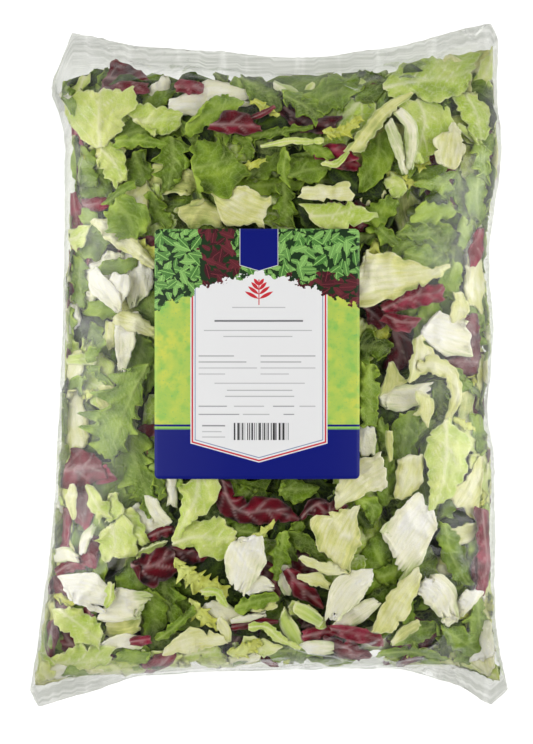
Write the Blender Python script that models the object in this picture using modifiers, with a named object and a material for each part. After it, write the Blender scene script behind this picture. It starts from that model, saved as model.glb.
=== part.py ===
"""A sealed clear bag of mixed salad leaves, lying on its back with its label facing up.

The bag is a tube of film, filled and sealed flat across both ends. It is modelled in metres as one
closed pillow: an upper and a lower sheet, a flat underside that it rests on, and a seal band at each
end. The printed label is a second piece, stuck to the upper sheet.

Axes: +X across the bag, +Y from the bottom seal to the top seal, +Z up. The origin is under the middle
of the bag, on the surface that it lies on.
"""

import math

import bmesh
import bpy
from mathutils import Matrix, Vector, noise

MM = 0.001

# The bag's outline seen from above: its edges, each as the few stations that its shape needs, in mm.
LEFT_SIDE = ((-188, -138), (-142, -131), (-92, -125), (-10, -120), (60, -118), (125, -118), (142, -120),
             (160, -126), (176, -121), (186, -117))
RIGHT_SIDE = ((-189, 138), (-152, 131), (-52, 129), (-29, 125), (20, 129), (64, 126), (126, 134), (156, 131),
              (190, 132))
BOTTOM_FOLD = ((-138, -188), (-110, -181), (-86, -179), (-40, -176), (40, -174), (70, -174), (88, -175),
               (108, -175), (138, -187))
TOP_ROOT = ((-120, 185), (-66, 176), (-30, 174), (8, 170), (42, 172), (80, 178), (112, 186), (132, 190))

# Heights of the filled bag.
FULL_HEIGHT = 82 * MM       # the crown of the upper sheet, before its lumps
SIDE_HEIGHT = 37 * MM       # the side crease at mid length
SEAL_HEIGHT = 19 * MM       # the side crease at the two seals
REST_SINK = 9 * MM          # how far the round underside is pressed flat by the floor
EDGE_GAP = 0.5 * MM         # half the thickness of the two films where they meet
LUMP_HEIGHT = 2.6 * MM      # how far leaves push the upper sheet up or down
LUMP_LENGTH = 38 * MM       # the distance between such lumps

# The two end seals: each is a flat band past the root where the sheets meet.
SEAL_BAND = 9 * MM
RIPPLE_HEIGHT = 2.2 * MM    # the seals wave up and down
RIPPLE_LENGTH = 34 * MM
GATHER_HEIGHT = 2.0 * MM    # creases run from the seals into the body
GATHER_LENGTH = 17 * MM
GATHER_REACH = 0.28         # how far they run, as a share of half the bag's length
CORNER_REACH = 34 * MM      # within this distance of a corner, the band's outer edge leans aside
CORNER_LEAN = {"low_left": 4 * MM, "low_right": -9 * MM, "high_left": 3 * MM, "high_right": -4 * MM}
TOP_BAND_DROOP = math.radians(22)
EAR_DROOP = math.radians(12)        # at the corners the lower band lies out flat
TUCK_DROOP = math.radians(80)       # between them it is folded down against the bag
TUCK_HALF_WIDTH = 78 * MM
TUCK_BLEND = 34 * MM

# The label, stuck to the upper sheet a little left of the middle.
LABEL_WIDTH = 116 * MM
LABEL_LENGTH = 141.5 * MM
LABEL_CORNER = 2.5 * MM
LABEL_THICKNESS = 0.25 * MM
LABEL_CENTRE = Vector((-7.1 * MM, 6.8 * MM))
LABEL_TURN = math.radians(-0.25)
LABEL_FILM_GAP = 0.35 * MM
LABEL_CALM = 22 * MM        # the lumps fade out over this distance round the label

SHEET_COLUMNS, SHEET_ROWS, BAND_ROWS = 34, 42, 2
LABEL_COLUMNS, LABEL_ROWS = 12, 15


def along(stations, at):
    """A smooth curve through stations of (place, value) in mm, read at a place in metres."""
    at /= MM
    places = [p for p, _ in stations]
    values = [v for _, v in stations]
    slopes = []
    for i in range(len(stations)):
        before, after = max(i - 1, 0), min(i + 1, len(stations) - 1)
        slopes.append((values[after] - values[before]) / (places[after] - places[before]))
    at = min(max(at, places[0]), places[-1])
    i = min(sum(at >= p for p in places[1:-1]), len(stations) - 2)
    span = places[i + 1] - places[i]
    u = (at - places[i]) / span
    value = (
        (2 * u**3 - 3 * u**2 + 1) * values[i]
        + (u**3 - 2 * u**2 + u) * span * slopes[i]
        + (3 * u**2 - 2 * u**3) * values[i + 1]
        + (u**3 - u**2) * span * slopes[i + 1]
    )
    return value * MM


def smooth_step(value):
    value = min(max(value, 0.0), 1.0)
    return value * value * (3 - 2 * value)


def across_and_along(x, y):
    """Where a point lies in the body: -1 to 1 from side to side, and -1 to 1 from end to end."""
    left, right = along(LEFT_SIDE, y), along(RIGHT_SIDE, y)
    low, high = along(BOTTOM_FOLD, x), along(TOP_ROOT, x)
    t = (2 * x - left - right) / (right - left)
    q = (2 * y - low - high) / (high - low)
    return min(max(t, -1.0), 1.0), min(max(q, -1.0), 1.0)


def fullness(t, q):
    """How full the bag is, from 0 at its edges to 1 in the middle. The top end tapers more gently."""
    sides = (1 - abs(t) ** 2.7) ** 0.56
    ends = (1 - abs(q) ** 4.2) ** 0.62 if q < 0 else (1 - abs(q) ** 3.4) ** 0.8
    return sides * ends


def crease_height(q):
    return SEAL_HEIGHT + (SIDE_HEIGHT - SEAL_HEIGHT) * (1 - abs(q) ** 2.4)


def label_place(x, y):
    """A point of the bag in the label's own axes."""
    return Matrix.Rotation(-LABEL_TURN, 2) @ (Vector((x, y)) - LABEL_CENTRE)


def lump(x, y):
    """How far the leaves push the upper sheet out, calmed under the label."""
    place = label_place(x, y)
    past = max(abs(place.x) - LABEL_WIDTH / 2, abs(place.y) - LABEL_LENGTH / 2)
    free = 0.25 + 0.75 * smooth_step(past / LABEL_CALM)
    return LUMP_HEIGHT * free * noise.noise(Vector((x, y, 0.31)) / LUMP_LENGTH)


def ripple(x, q):
    """How far the seals, and the sheets near them, wave up or down together."""
    near = smooth_step((abs(q) - 1 + GATHER_REACH) / GATHER_REACH)
    return RIPPLE_HEIGHT * near * noise.noise(Vector((x / RIPPLE_LENGTH, math.copysign(3, q), 0.7)))


def gather(x, q, side):
    """The creases that run from each seal into one sheet. They are gone at the seal and past their reach."""
    share = (1 - abs(q)) / GATHER_REACH
    if share >= 1:
        return 0.0
    rise = math.sin(math.pi * share)
    return GATHER_HEIGHT * rise * noise.noise(Vector((x / GATHER_LENGTH, math.copysign(5, q), side)))


def upper_height(x, y):
    t, q = across_and_along(x, y)
    full, crease = fullness(t, q), crease_height(q)
    inner = min(1.0, 2 * full)
    bumps = (lump(x, y) + gather(x, q, 1)) * inner
    return crease + EDGE_GAP + (FULL_HEIGHT - crease) * full + bumps + ripple(x, q)


def lower_height(x, y):
    t, q = across_and_along(x, y)
    full, crease = fullness(t, q), crease_height(q)
    bumps = gather(x, q, 2) * min(1.0, 2 * full) + ripple(x, q)
    return max(0.0, crease - EDGE_GAP - (crease + REST_SINK) * full**0.9 + bumps)


def spread(share):
    """Even steps from 0 to 1, drawn together towards both ends, where the sheets turn down."""
    return 0.5 * share + 0.25 * (1 - math.cos(math.pi * share))


def corner(side, at, end):
    """Where a side line meets the bottom fold or the top root: the end values of the two curves."""
    return Vector((side[at][1], end[0 if side is LEFT_SIDE else -1][1])) * MM


def body_place(a, s):
    """A point of the body's outline patch: a runs from left to right and s from bottom to top."""
    low_left, low_right = corner(LEFT_SIDE, 0, BOTTOM_FOLD), corner(RIGHT_SIDE, 0, BOTTOM_FOLD)
    high_left, high_right = corner(LEFT_SIDE, -1, TOP_ROOT), corner(RIGHT_SIDE, -1, TOP_ROOT)
    x_low, x_high = (p.x + a * (q.x - p.x) for p, q in ((low_left, low_right), (high_left, high_right)))
    y_left, y_right = (p.y + s * (q.y - p.y) for p, q in ((low_left, high_left), (low_right, high_right)))
    low, high = Vector((x_low, along(BOTTOM_FOLD, x_low))), Vector((x_high, along(TOP_ROOT, x_high)))
    left, right = Vector((along(LEFT_SIDE, y_left), y_left)), Vector((along(RIGHT_SIDE, y_right), y_right))
    corners = (1 - a) * (1 - s) * low_left + a * (1 - s) * low_right + (1 - a) * s * high_left
    corners += a * s * high_right
    return (1 - s) * low + s * high + (1 - a) * left + a * right - corners


def band_step(place, a, end):
    """The way that a seal band runs, out from its root at one end of the bag, and down."""
    if end > 0:
        droop = TOP_BAND_DROOP
    else:
        ear = smooth_step((abs(place.x) - TUCK_HALF_WIDTH) / TUCK_BLEND)
        droop = TUCK_DROOP + (EAR_DROOP - TUCK_DROOP) * ear
    half = "high" if end > 0 else "low"
    width = corner(RIGHT_SIDE, 0, BOTTOM_FOLD).x - corner(LEFT_SIDE, 0, BOTTOM_FOLD).x
    to_left, to_right = (1 - smooth_step(share * width / CORNER_REACH) for share in (a, 1 - a))
    lean = (CORNER_LEAN[half + "_left"] * to_left + CORNER_LEAN[half + "_right"] * to_right) / SEAL_BAND
    return Vector((lean, end * math.cos(droop), -math.sin(droop)))


def sheet_point(column, row, upper):
    """A point of the upper or lower sheet. Rows outside the body's are those of the seal bands."""
    a = spread(column / SHEET_COLUMNS)
    body_row = min(max(row, 0), SHEET_ROWS)
    place = body_place(a, spread(body_row / SHEET_ROWS))
    if row != body_row:
        end = 1 if row > body_row else -1
        crease = Vector((place.x, place.y, crease_height(1) + ripple(place.x, end)))
        point = crease + band_step(place, a, end) * SEAL_BAND * abs(row - body_row) / BAND_ROWS
        normal = Vector((0, math.sqrt(0.5), math.sqrt(0.5))) if end < 0 else Vector((0, 0, 1))
        return point + normal * (EDGE_GAP if upper else -EDGE_GAP)
    if column in (0, SHEET_COLUMNS) or row in (0, SHEET_ROWS):
        _, q = across_and_along(place.x, place.y)
        if row in (0, SHEET_ROWS):
            q = 1 if row else -1
        height = crease_height(q) + ripple(place.x, q) + (EDGE_GAP if upper else -EDGE_GAP)
    else:
        height = upper_height(place.x, place.y) if upper else lower_height(place.x, place.y)
    return Vector((place.x, place.y, height))


def add_sheet(bm, upper):
    """One film sheet as a grid, with its seal bands. Returns the edges round its rim."""
    rows = SHEET_ROWS + 2 * BAND_ROWS
    made = bmesh.ops.create_grid(bm, x_segments=SHEET_COLUMNS, y_segments=rows, size=1.0)
    for vert in made["verts"]:
        column = round((vert.co.x + 1) / 2 * SHEET_COLUMNS)
        row = round((vert.co.y + 1) / 2 * rows) - BAND_ROWS
        vert.co = sheet_point(column, row, upper)
    faces = {face for vert in made["verts"] for face in vert.link_faces}
    if not upper:
        bmesh.ops.reverse_faces(bm, faces=list(faces))
    return [edge for face in faces for edge in face.edges if edge.is_boundary]


def material(name, colour, roughness, alpha=1.0):
    made = bpy.data.materials.new(name)
    made.use_nodes = True
    shader = made.node_tree.nodes["Principled BSDF"]
    shader.inputs["Base Color"].default_value = (*colour, 1)
    shader.inputs["Roughness"].default_value = roughness
    shader.inputs["Metallic"].default_value = 0.0
    shader.inputs["Alpha"].default_value = alpha
    return made


def add_object(name, bm, made_material, collection):
    mesh = bpy.data.meshes.new(name)
    bm.to_mesh(mesh)
    bm.free()
    mesh.materials.append(made_material)
    mesh.shade_smooth()
    obj = bpy.data.objects.new(name, mesh)
    collection.objects.link(obj)
    return obj


def make_bag(collection):
    """The filled bag with its seal bands: two sheets joined round their rims."""
    bm = bmesh.new()
    rims = add_sheet(bm, upper=True) + add_sheet(bm, upper=False)
    bmesh.ops.bridge_loops(bm, edges=list(set(rims)))
    bmesh.ops.recalc_face_normals(bm, faces=bm.faces)
    leaves = material("salad_through_film", (0.36, 0.47, 0.16), 0.25)
    return add_object("salad_bag", bm, leaves, collection)


def make_label(collection):
    """The label: a round-cornered sheet laid on the bag's upper face, with Solidify for its paper."""
    bm = bmesh.new()
    bmesh.ops.create_grid(bm, x_segments=LABEL_COLUMNS, y_segments=LABEL_ROWS, size=0.5)
    corners = []
    for vert in bm.verts:
        if len(vert.link_edges) == 2:
            corners.append(vert)
        vert.co = Vector((vert.co.x * LABEL_WIDTH, vert.co.y * LABEL_LENGTH, 0))
    bmesh.ops.bevel(bm, geom=corners, offset=LABEL_CORNER, segments=4, profile=0.5, affect="VERTICES")
    turn = Matrix.Rotation(LABEL_TURN, 2)
    for vert in bm.verts:
        place = LABEL_CENTRE + turn @ vert.co.xy
        vert.co = Vector((place.x, place.y, upper_height(place.x, place.y) + LABEL_FILM_GAP))
    bmesh.ops.recalc_face_normals(bm, faces=bm.faces)
    if sum((face.normal.z for face in bm.faces)) < 0:
        bmesh.ops.reverse_faces(bm, faces=bm.faces)
    label = add_object("label", bm, material("label_print", (0.85, 0.87, 0.84), 0.35), collection)
    paper = label.modifiers.new("Paper", "SOLIDIFY")
    paper.thickness = LABEL_THICKNESS
    paper.offset = 1.0
    return label


def main():
    for obj in list(bpy.data.objects):
        bpy.data.objects.remove(obj)
    collection = bpy.data.collections.new("Bag of salad leaves")
    bpy.context.scene.collection.children.link(collection)
    make_bag(collection)
    make_label(collection)


main()
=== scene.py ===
"""Looks for the bag of salad leaves: clear film, a printed label and the loose leaves inside.

It is laid out as an add-on and run as a script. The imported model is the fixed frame. Everything is in
metres, except the leaves' own tables, which are in millimetres.
"""

import math

import bmesh
import bpy
import numpy as np
from bpy.props import FloatProperty, FloatVectorProperty, IntProperty, PointerProperty
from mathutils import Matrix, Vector
from mathutils.bvhtree import BVHTree


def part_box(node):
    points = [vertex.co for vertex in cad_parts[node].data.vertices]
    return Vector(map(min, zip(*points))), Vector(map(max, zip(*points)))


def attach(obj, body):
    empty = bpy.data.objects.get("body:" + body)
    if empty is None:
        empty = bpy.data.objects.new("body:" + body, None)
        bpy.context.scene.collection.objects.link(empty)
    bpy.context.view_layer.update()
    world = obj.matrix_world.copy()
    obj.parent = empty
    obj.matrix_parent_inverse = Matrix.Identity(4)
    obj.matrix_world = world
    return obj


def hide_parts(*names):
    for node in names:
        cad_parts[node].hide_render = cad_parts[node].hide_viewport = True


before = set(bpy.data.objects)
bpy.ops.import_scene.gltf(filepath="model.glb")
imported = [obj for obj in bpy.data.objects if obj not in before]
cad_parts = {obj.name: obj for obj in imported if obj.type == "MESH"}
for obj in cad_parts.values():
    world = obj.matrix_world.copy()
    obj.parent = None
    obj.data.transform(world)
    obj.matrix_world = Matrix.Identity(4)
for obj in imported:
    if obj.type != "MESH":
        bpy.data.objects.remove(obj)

bl_info = {
    "name": "Salad bag",
    "version": (1, 0, 0),
    "blender": (4, 5, 0),
    "location": "3D View > Sidebar > Salad",
    "description": "Clear film, printed label and loose leaves for a bag of salad",
    "category": "Object",
}

MM = 0.001
BAG, LABEL = "salad_bag", "label"
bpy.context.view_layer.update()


# Shared measuring and noise


def smooth_step(value):
    value = np.clip(value, 0.0, 1.0)
    return value * value * (3 - 2 * value)


def soft_noise(x, y, seed=0.0):
    """Gradient noise from about -1 to 1, for arrays of places one unit apart."""
    x, y = np.broadcast_arrays(np.asarray(x, float), np.asarray(y, float))
    cell_x, cell_y = np.floor(x), np.floor(y)
    in_x, in_y = x - cell_x, y - cell_y
    blend_x = in_x**3 * (in_x * (in_x * 6 - 15) + 10)
    blend_y = in_y**3 * (in_y * (in_y * 6 - 15) + 10)

    def corner(right, up):
        spin = np.sin((cell_x + right) * 127.1 + (cell_y + up) * 311.7 + seed * 74.7) * 43758.5453
        angle = (spin - np.floor(spin)) * 2 * math.pi
        return np.cos(angle) * (in_x - right) + np.sin(angle) * (in_y - up)

    low = corner(0, 0) + blend_x * (corner(1, 0) - corner(0, 0))
    high = corner(0, 1) + blend_x * (corner(1, 1) - corner(0, 1))
    return 1.5 * (low + blend_y * (high - low))


class Room:
    """The space inside the film: the heights of its two sheets over a grid of places seen from above."""

    STEP = 2 * MM
    AROUND = 16 * MM      # how far the grid goes past the bag
    THINNEST = 1.6 * MM   # the least room between the sheets that a leaf reaches into

    def __init__(self, node):
        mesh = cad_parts[node].data
        tree = BVHTree.FromPolygons([v.co for v in mesh.vertices], [p.vertices[:] for p in mesh.polygons])
        low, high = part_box(node)
        self.corner = (low.x - self.AROUND, low.y - self.AROUND)
        self.xs = np.arange(self.corner[0], high.x + self.AROUND, self.STEP)
        self.ys = np.arange(self.corner[1], high.y + self.AROUND, self.STEP)
        up, down = Vector((0, 0, 1)), Vector((0, 0, -1))
        sheets = np.full((2, len(self.ys), len(self.xs)), np.nan)
        for row, y in enumerate(self.ys):
            for column, x in enumerate(self.xs):
                hit = tree.ray_cast(Vector((x, y, high.z + 1)), down)[0]
                if hit is not None:
                    sheets[0, row, column] = hit.z
                    sheets[1, row, column] = tree.ray_cast(Vector((x, y, low.z - 1)), up)[0].z
        inside = ~np.isnan(sheets[0])
        rows = np.where(inside, self.ys[:, None], np.nan)
        some = inside.any(0)
        self.ends = np.stack([np.interp(self.xs, self.xs[some], end(rows[:, some], 0)) for end in (np.nanmin, np.nanmax)])
        crease = np.nanmean(sheets[:, inside & (sheets[0] - sheets[1] < 3 * MM)])
        self.sheets = np.where(inside, sheets, crease)
        # How far each place is inside the outline of the useful room, and which way is inwards.
        useful = self.sheets[0] - self.sheets[1] > self.THINNEST
        grid = np.stack(np.meshgrid(self.xs, self.ys), -1)
        rim = useful & ~(
            np.roll(useful, 1, 0) & np.roll(useful, -1, 0) & np.roll(useful, 1, 1) & np.roll(useful, -1, 1)
        )
        far = np.full(useful.shape, np.inf)
        for spot in grid[rim]:
            np.minimum(far, np.hypot(grid[..., 0] - spot[0], grid[..., 1] - spot[1]), out=far)
        far = np.where(useful, far, -far)
        inward = np.stack(np.gradient(far, self.STEP)[::-1])
        inward /= np.linalg.norm(inward, axis=0) + 0.1
        self.edge = np.concatenate([far[None], inward])

    def read(self, layers, place):
        """What the layers hold at places of shape (..., 2), read between the grid's points."""
        column = np.clip((place[..., 0] - self.corner[0]) / self.STEP, 0, len(self.xs) - 1.001)
        row = np.clip((place[..., 1] - self.corner[1]) / self.STEP, 0, len(self.ys) - 1.001)
        left, below = column.astype(int), row.astype(int)
        fx, fy = column - left, row - below
        low = layers[:, below, left] * (1 - fx) + layers[:, below, left + 1] * fx
        high = layers[:, below + 1, left] * (1 - fx) + layers[:, below + 1, left + 1] * fx
        return low * (1 - fy) + high * fy

    def heights(self, place):
        """The upper and the lower sheet's height."""
        return self.read(self.sheets, place)

    def from_end(self, place):
        """How far each place is from the nearer end of the bag, along its length."""
        low, high = (np.interp(place[..., 0], self.xs, end) for end in self.ends)
        return np.minimum(place[..., 1] - low, high - place[..., 1])

    def draw_in(self, place, margin=7 * MM, least=1 * MM):
        """Presses what lies outside the outline, or close inside it, into a margin just within it."""
        far, right, up = self.read(self.edge, place)
        wanted = least + (margin - least) * np.exp((far - margin) / (margin - least))
        place = place + np.stack([right, up], -1) * np.where(far < margin, wanted - far, 0)[..., None]
        for _ in range(3):
            far, right, up = self.read(self.edge, place)
            place = place + np.stack([right, up], -1) * np.maximum(least / 2 - far, 0)[..., None]
        return place


class Pile:
    """How far from one of the film's sheets the leaves laid so far reach, over a grid seen from above."""

    STEP = 1 * MM
    GAP = 0.25 * MM   # kept between two leaves

    def __init__(self):
        low, high = (np.array(corner[:2]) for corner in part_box(BAG))
        self.corner = low - 3 * self.STEP
        self.reach = np.zeros(((high - low) / self.STEP).astype(int) + 7)

    def cells(self, place):
        spots = np.round((place - self.corner) / self.STEP).astype(int)
        spots = np.clip(spots, 1, np.array(self.reach.shape) - 2)
        return spots[..., 0], spots[..., 1]

    def drape(self, place, down):
        """Depths pushed down to clear all the leaves that lie there already."""
        return np.maximum(down, self.reach[self.cells(place)] + self.GAP)

    def lay(self, place, down):
        column, row = self.cells(place)
        for right in (-1, 0, 1):
            for up in (-1, 0, 1):
                np.maximum.at(self.reach, (column + right, row + up), down)


room = Room(BAG)


# Leaves

# How each kind of leaf is shaped, in mm.
# rag, dent, crumple, blister, ruffle: the height and length of its waves: of the outline, of the soft and the
# sharp folds all over, of the fine grain, and along the margin. teeth: their depth and spacing. lobes: how
# deeply its sides are cut, from 0 to 1, and how far apart. tears and splits: how many its sides and its far
# end have, and their depth. quilt: how far it bulges between veins. cup, arch, curl: how it bends across,
# along and at its margin. rib and vein: half width and height. spacing: between side veins. fan: how many
# veins spread from its base. shade: how its tone changes from its base to its tip and towards its margin. blade
# and core: its thickness at the margin and in the middle. fold: the share that are folded over. step: between
# the points of its mesh.
BLADE = dict(
    rag=(2.2, 6), dent=(3.0, 20), crumple=(4.2, 16), blister=(0.35, 3.8), ruffle=(2.8, 9), teeth=(2.4, 4.8),
    lobes=(0.0, 9), tears=(1, 3), splits=(0, 0), quilt=0.5, cup=3.0, arch=3.0, curl=1.2, rib=(1.2, 0.6),
    swell=0.3, vein=(0.5, 0.35), spacing=8, fan=0, shade=(-0.16, -0.06), blade=0.5, core=0.8, fold=0.3, step=1.35,
)
KINDS = {
    "green_leaves": dict(BLADE),
    "light_leaves": dict(BLADE, step=1.32, fold=0.25, crumple=(4.4, 17), ruffle=(3.0, 9), dent=(3.2, 20)),
    "dark_leaves": dict(BLADE, step=2.0),
    # Frilly leaves grow paler towards their margins: partly their own colour, partly painted light for light shining
    # through their thin tips.
    "frilly_leaves": dict(
        BLADE, rag=(1.6, 6), teeth=(4.2, 5.0), lobes=(0.55, 10.5), ruffle=(3.0, 8), crumple=(3.0, 15),
        tears=(0, 0), rib=(1.0, 0.5), vein=(0.45, 0.3), spacing=6, shade=(-0.1, 0.14), fold=0.12, step=1.12,
    ),
    "yellow_frills": dict(
        BLADE, rag=(1.8, 3), teeth=(3.4, 3.0), lobes=(0.8, 6.5), ruffle=(3.0, 6), crumple=(2.4, 13), tears=(0, 0),
        rib=(0.9, 0.4), vein=(0.4, 0.2), spacing=6, shade=(-0.1, -0.2), fold=0.1, step=0.85,
    ),
    "pale_leaves": dict(
        BLADE, rag=(1.6, 7), teeth=(1.2, 5.0), dent=(3.0, 18), crumple=(4.2, 14), blister=(0.2, 4.5), swell=0.2,
        ruffle=(1.8, 12), quilt=0.9, rib=(0.0, 0.0), vein=(0.8, 0.8), spacing=0, fan=6, shade=(-0.20, -0.34), cup=4.5, curl=2.5,
        blade=0.6, core=1.3, fold=0.12,
    ),
    "white_ribs": dict(
        BLADE, rag=(0.9, 8), teeth=(0.6, 4.5), dent=(2.6, 17), crumple=(3.4, 15), blister=(0.12, 5), tears=(0, 0),
        splits=(5, 5), ruffle=(0.9, 14), quilt=0.7, cup=-6.0, arch=4.0, curl=-1.2, rib=(0.0, 0.0), swell=0.12,
        vein=(0.7, 1.0), spacing=0, fan=8, shade=(-0.40, -0.40), blade=0.9, core=3.4, fold=0.0, step=1.2,
    ),
    "red_leaves": dict(
        BLADE, rag=(1.4, 6), teeth=(0.6, 6), dent=(3.4, 15), crumple=(5.0, 11), blister=(0.15, 5), cup=5.0,
        curl=3.0, quilt=0.6, rib=(1.2, 0.8), vein=(1.1, 0.2), spacing=11, blade=0.6, core=0.9, fold=0.2, shade=(0.1, -0.1),
        step=1.2,
    ),
    "stems": dict(
        BLADE, rag=(0.3, 9), teeth=(0.0, 5), dent=(0.4, 24), crumple=(0.4, 24), blister=(0.06, 5), tears=(0, 0),
        ruffle=(0.1, 20), quilt=0.2, cup=-1.0, arch=1.5, curl=0.0, rib=(0.0, 0.0), vein=(0.35, 0.2), spacing=0,
        fan=7, blade=1.2, core=3.5, fold=0.0,
    ),
}

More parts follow.
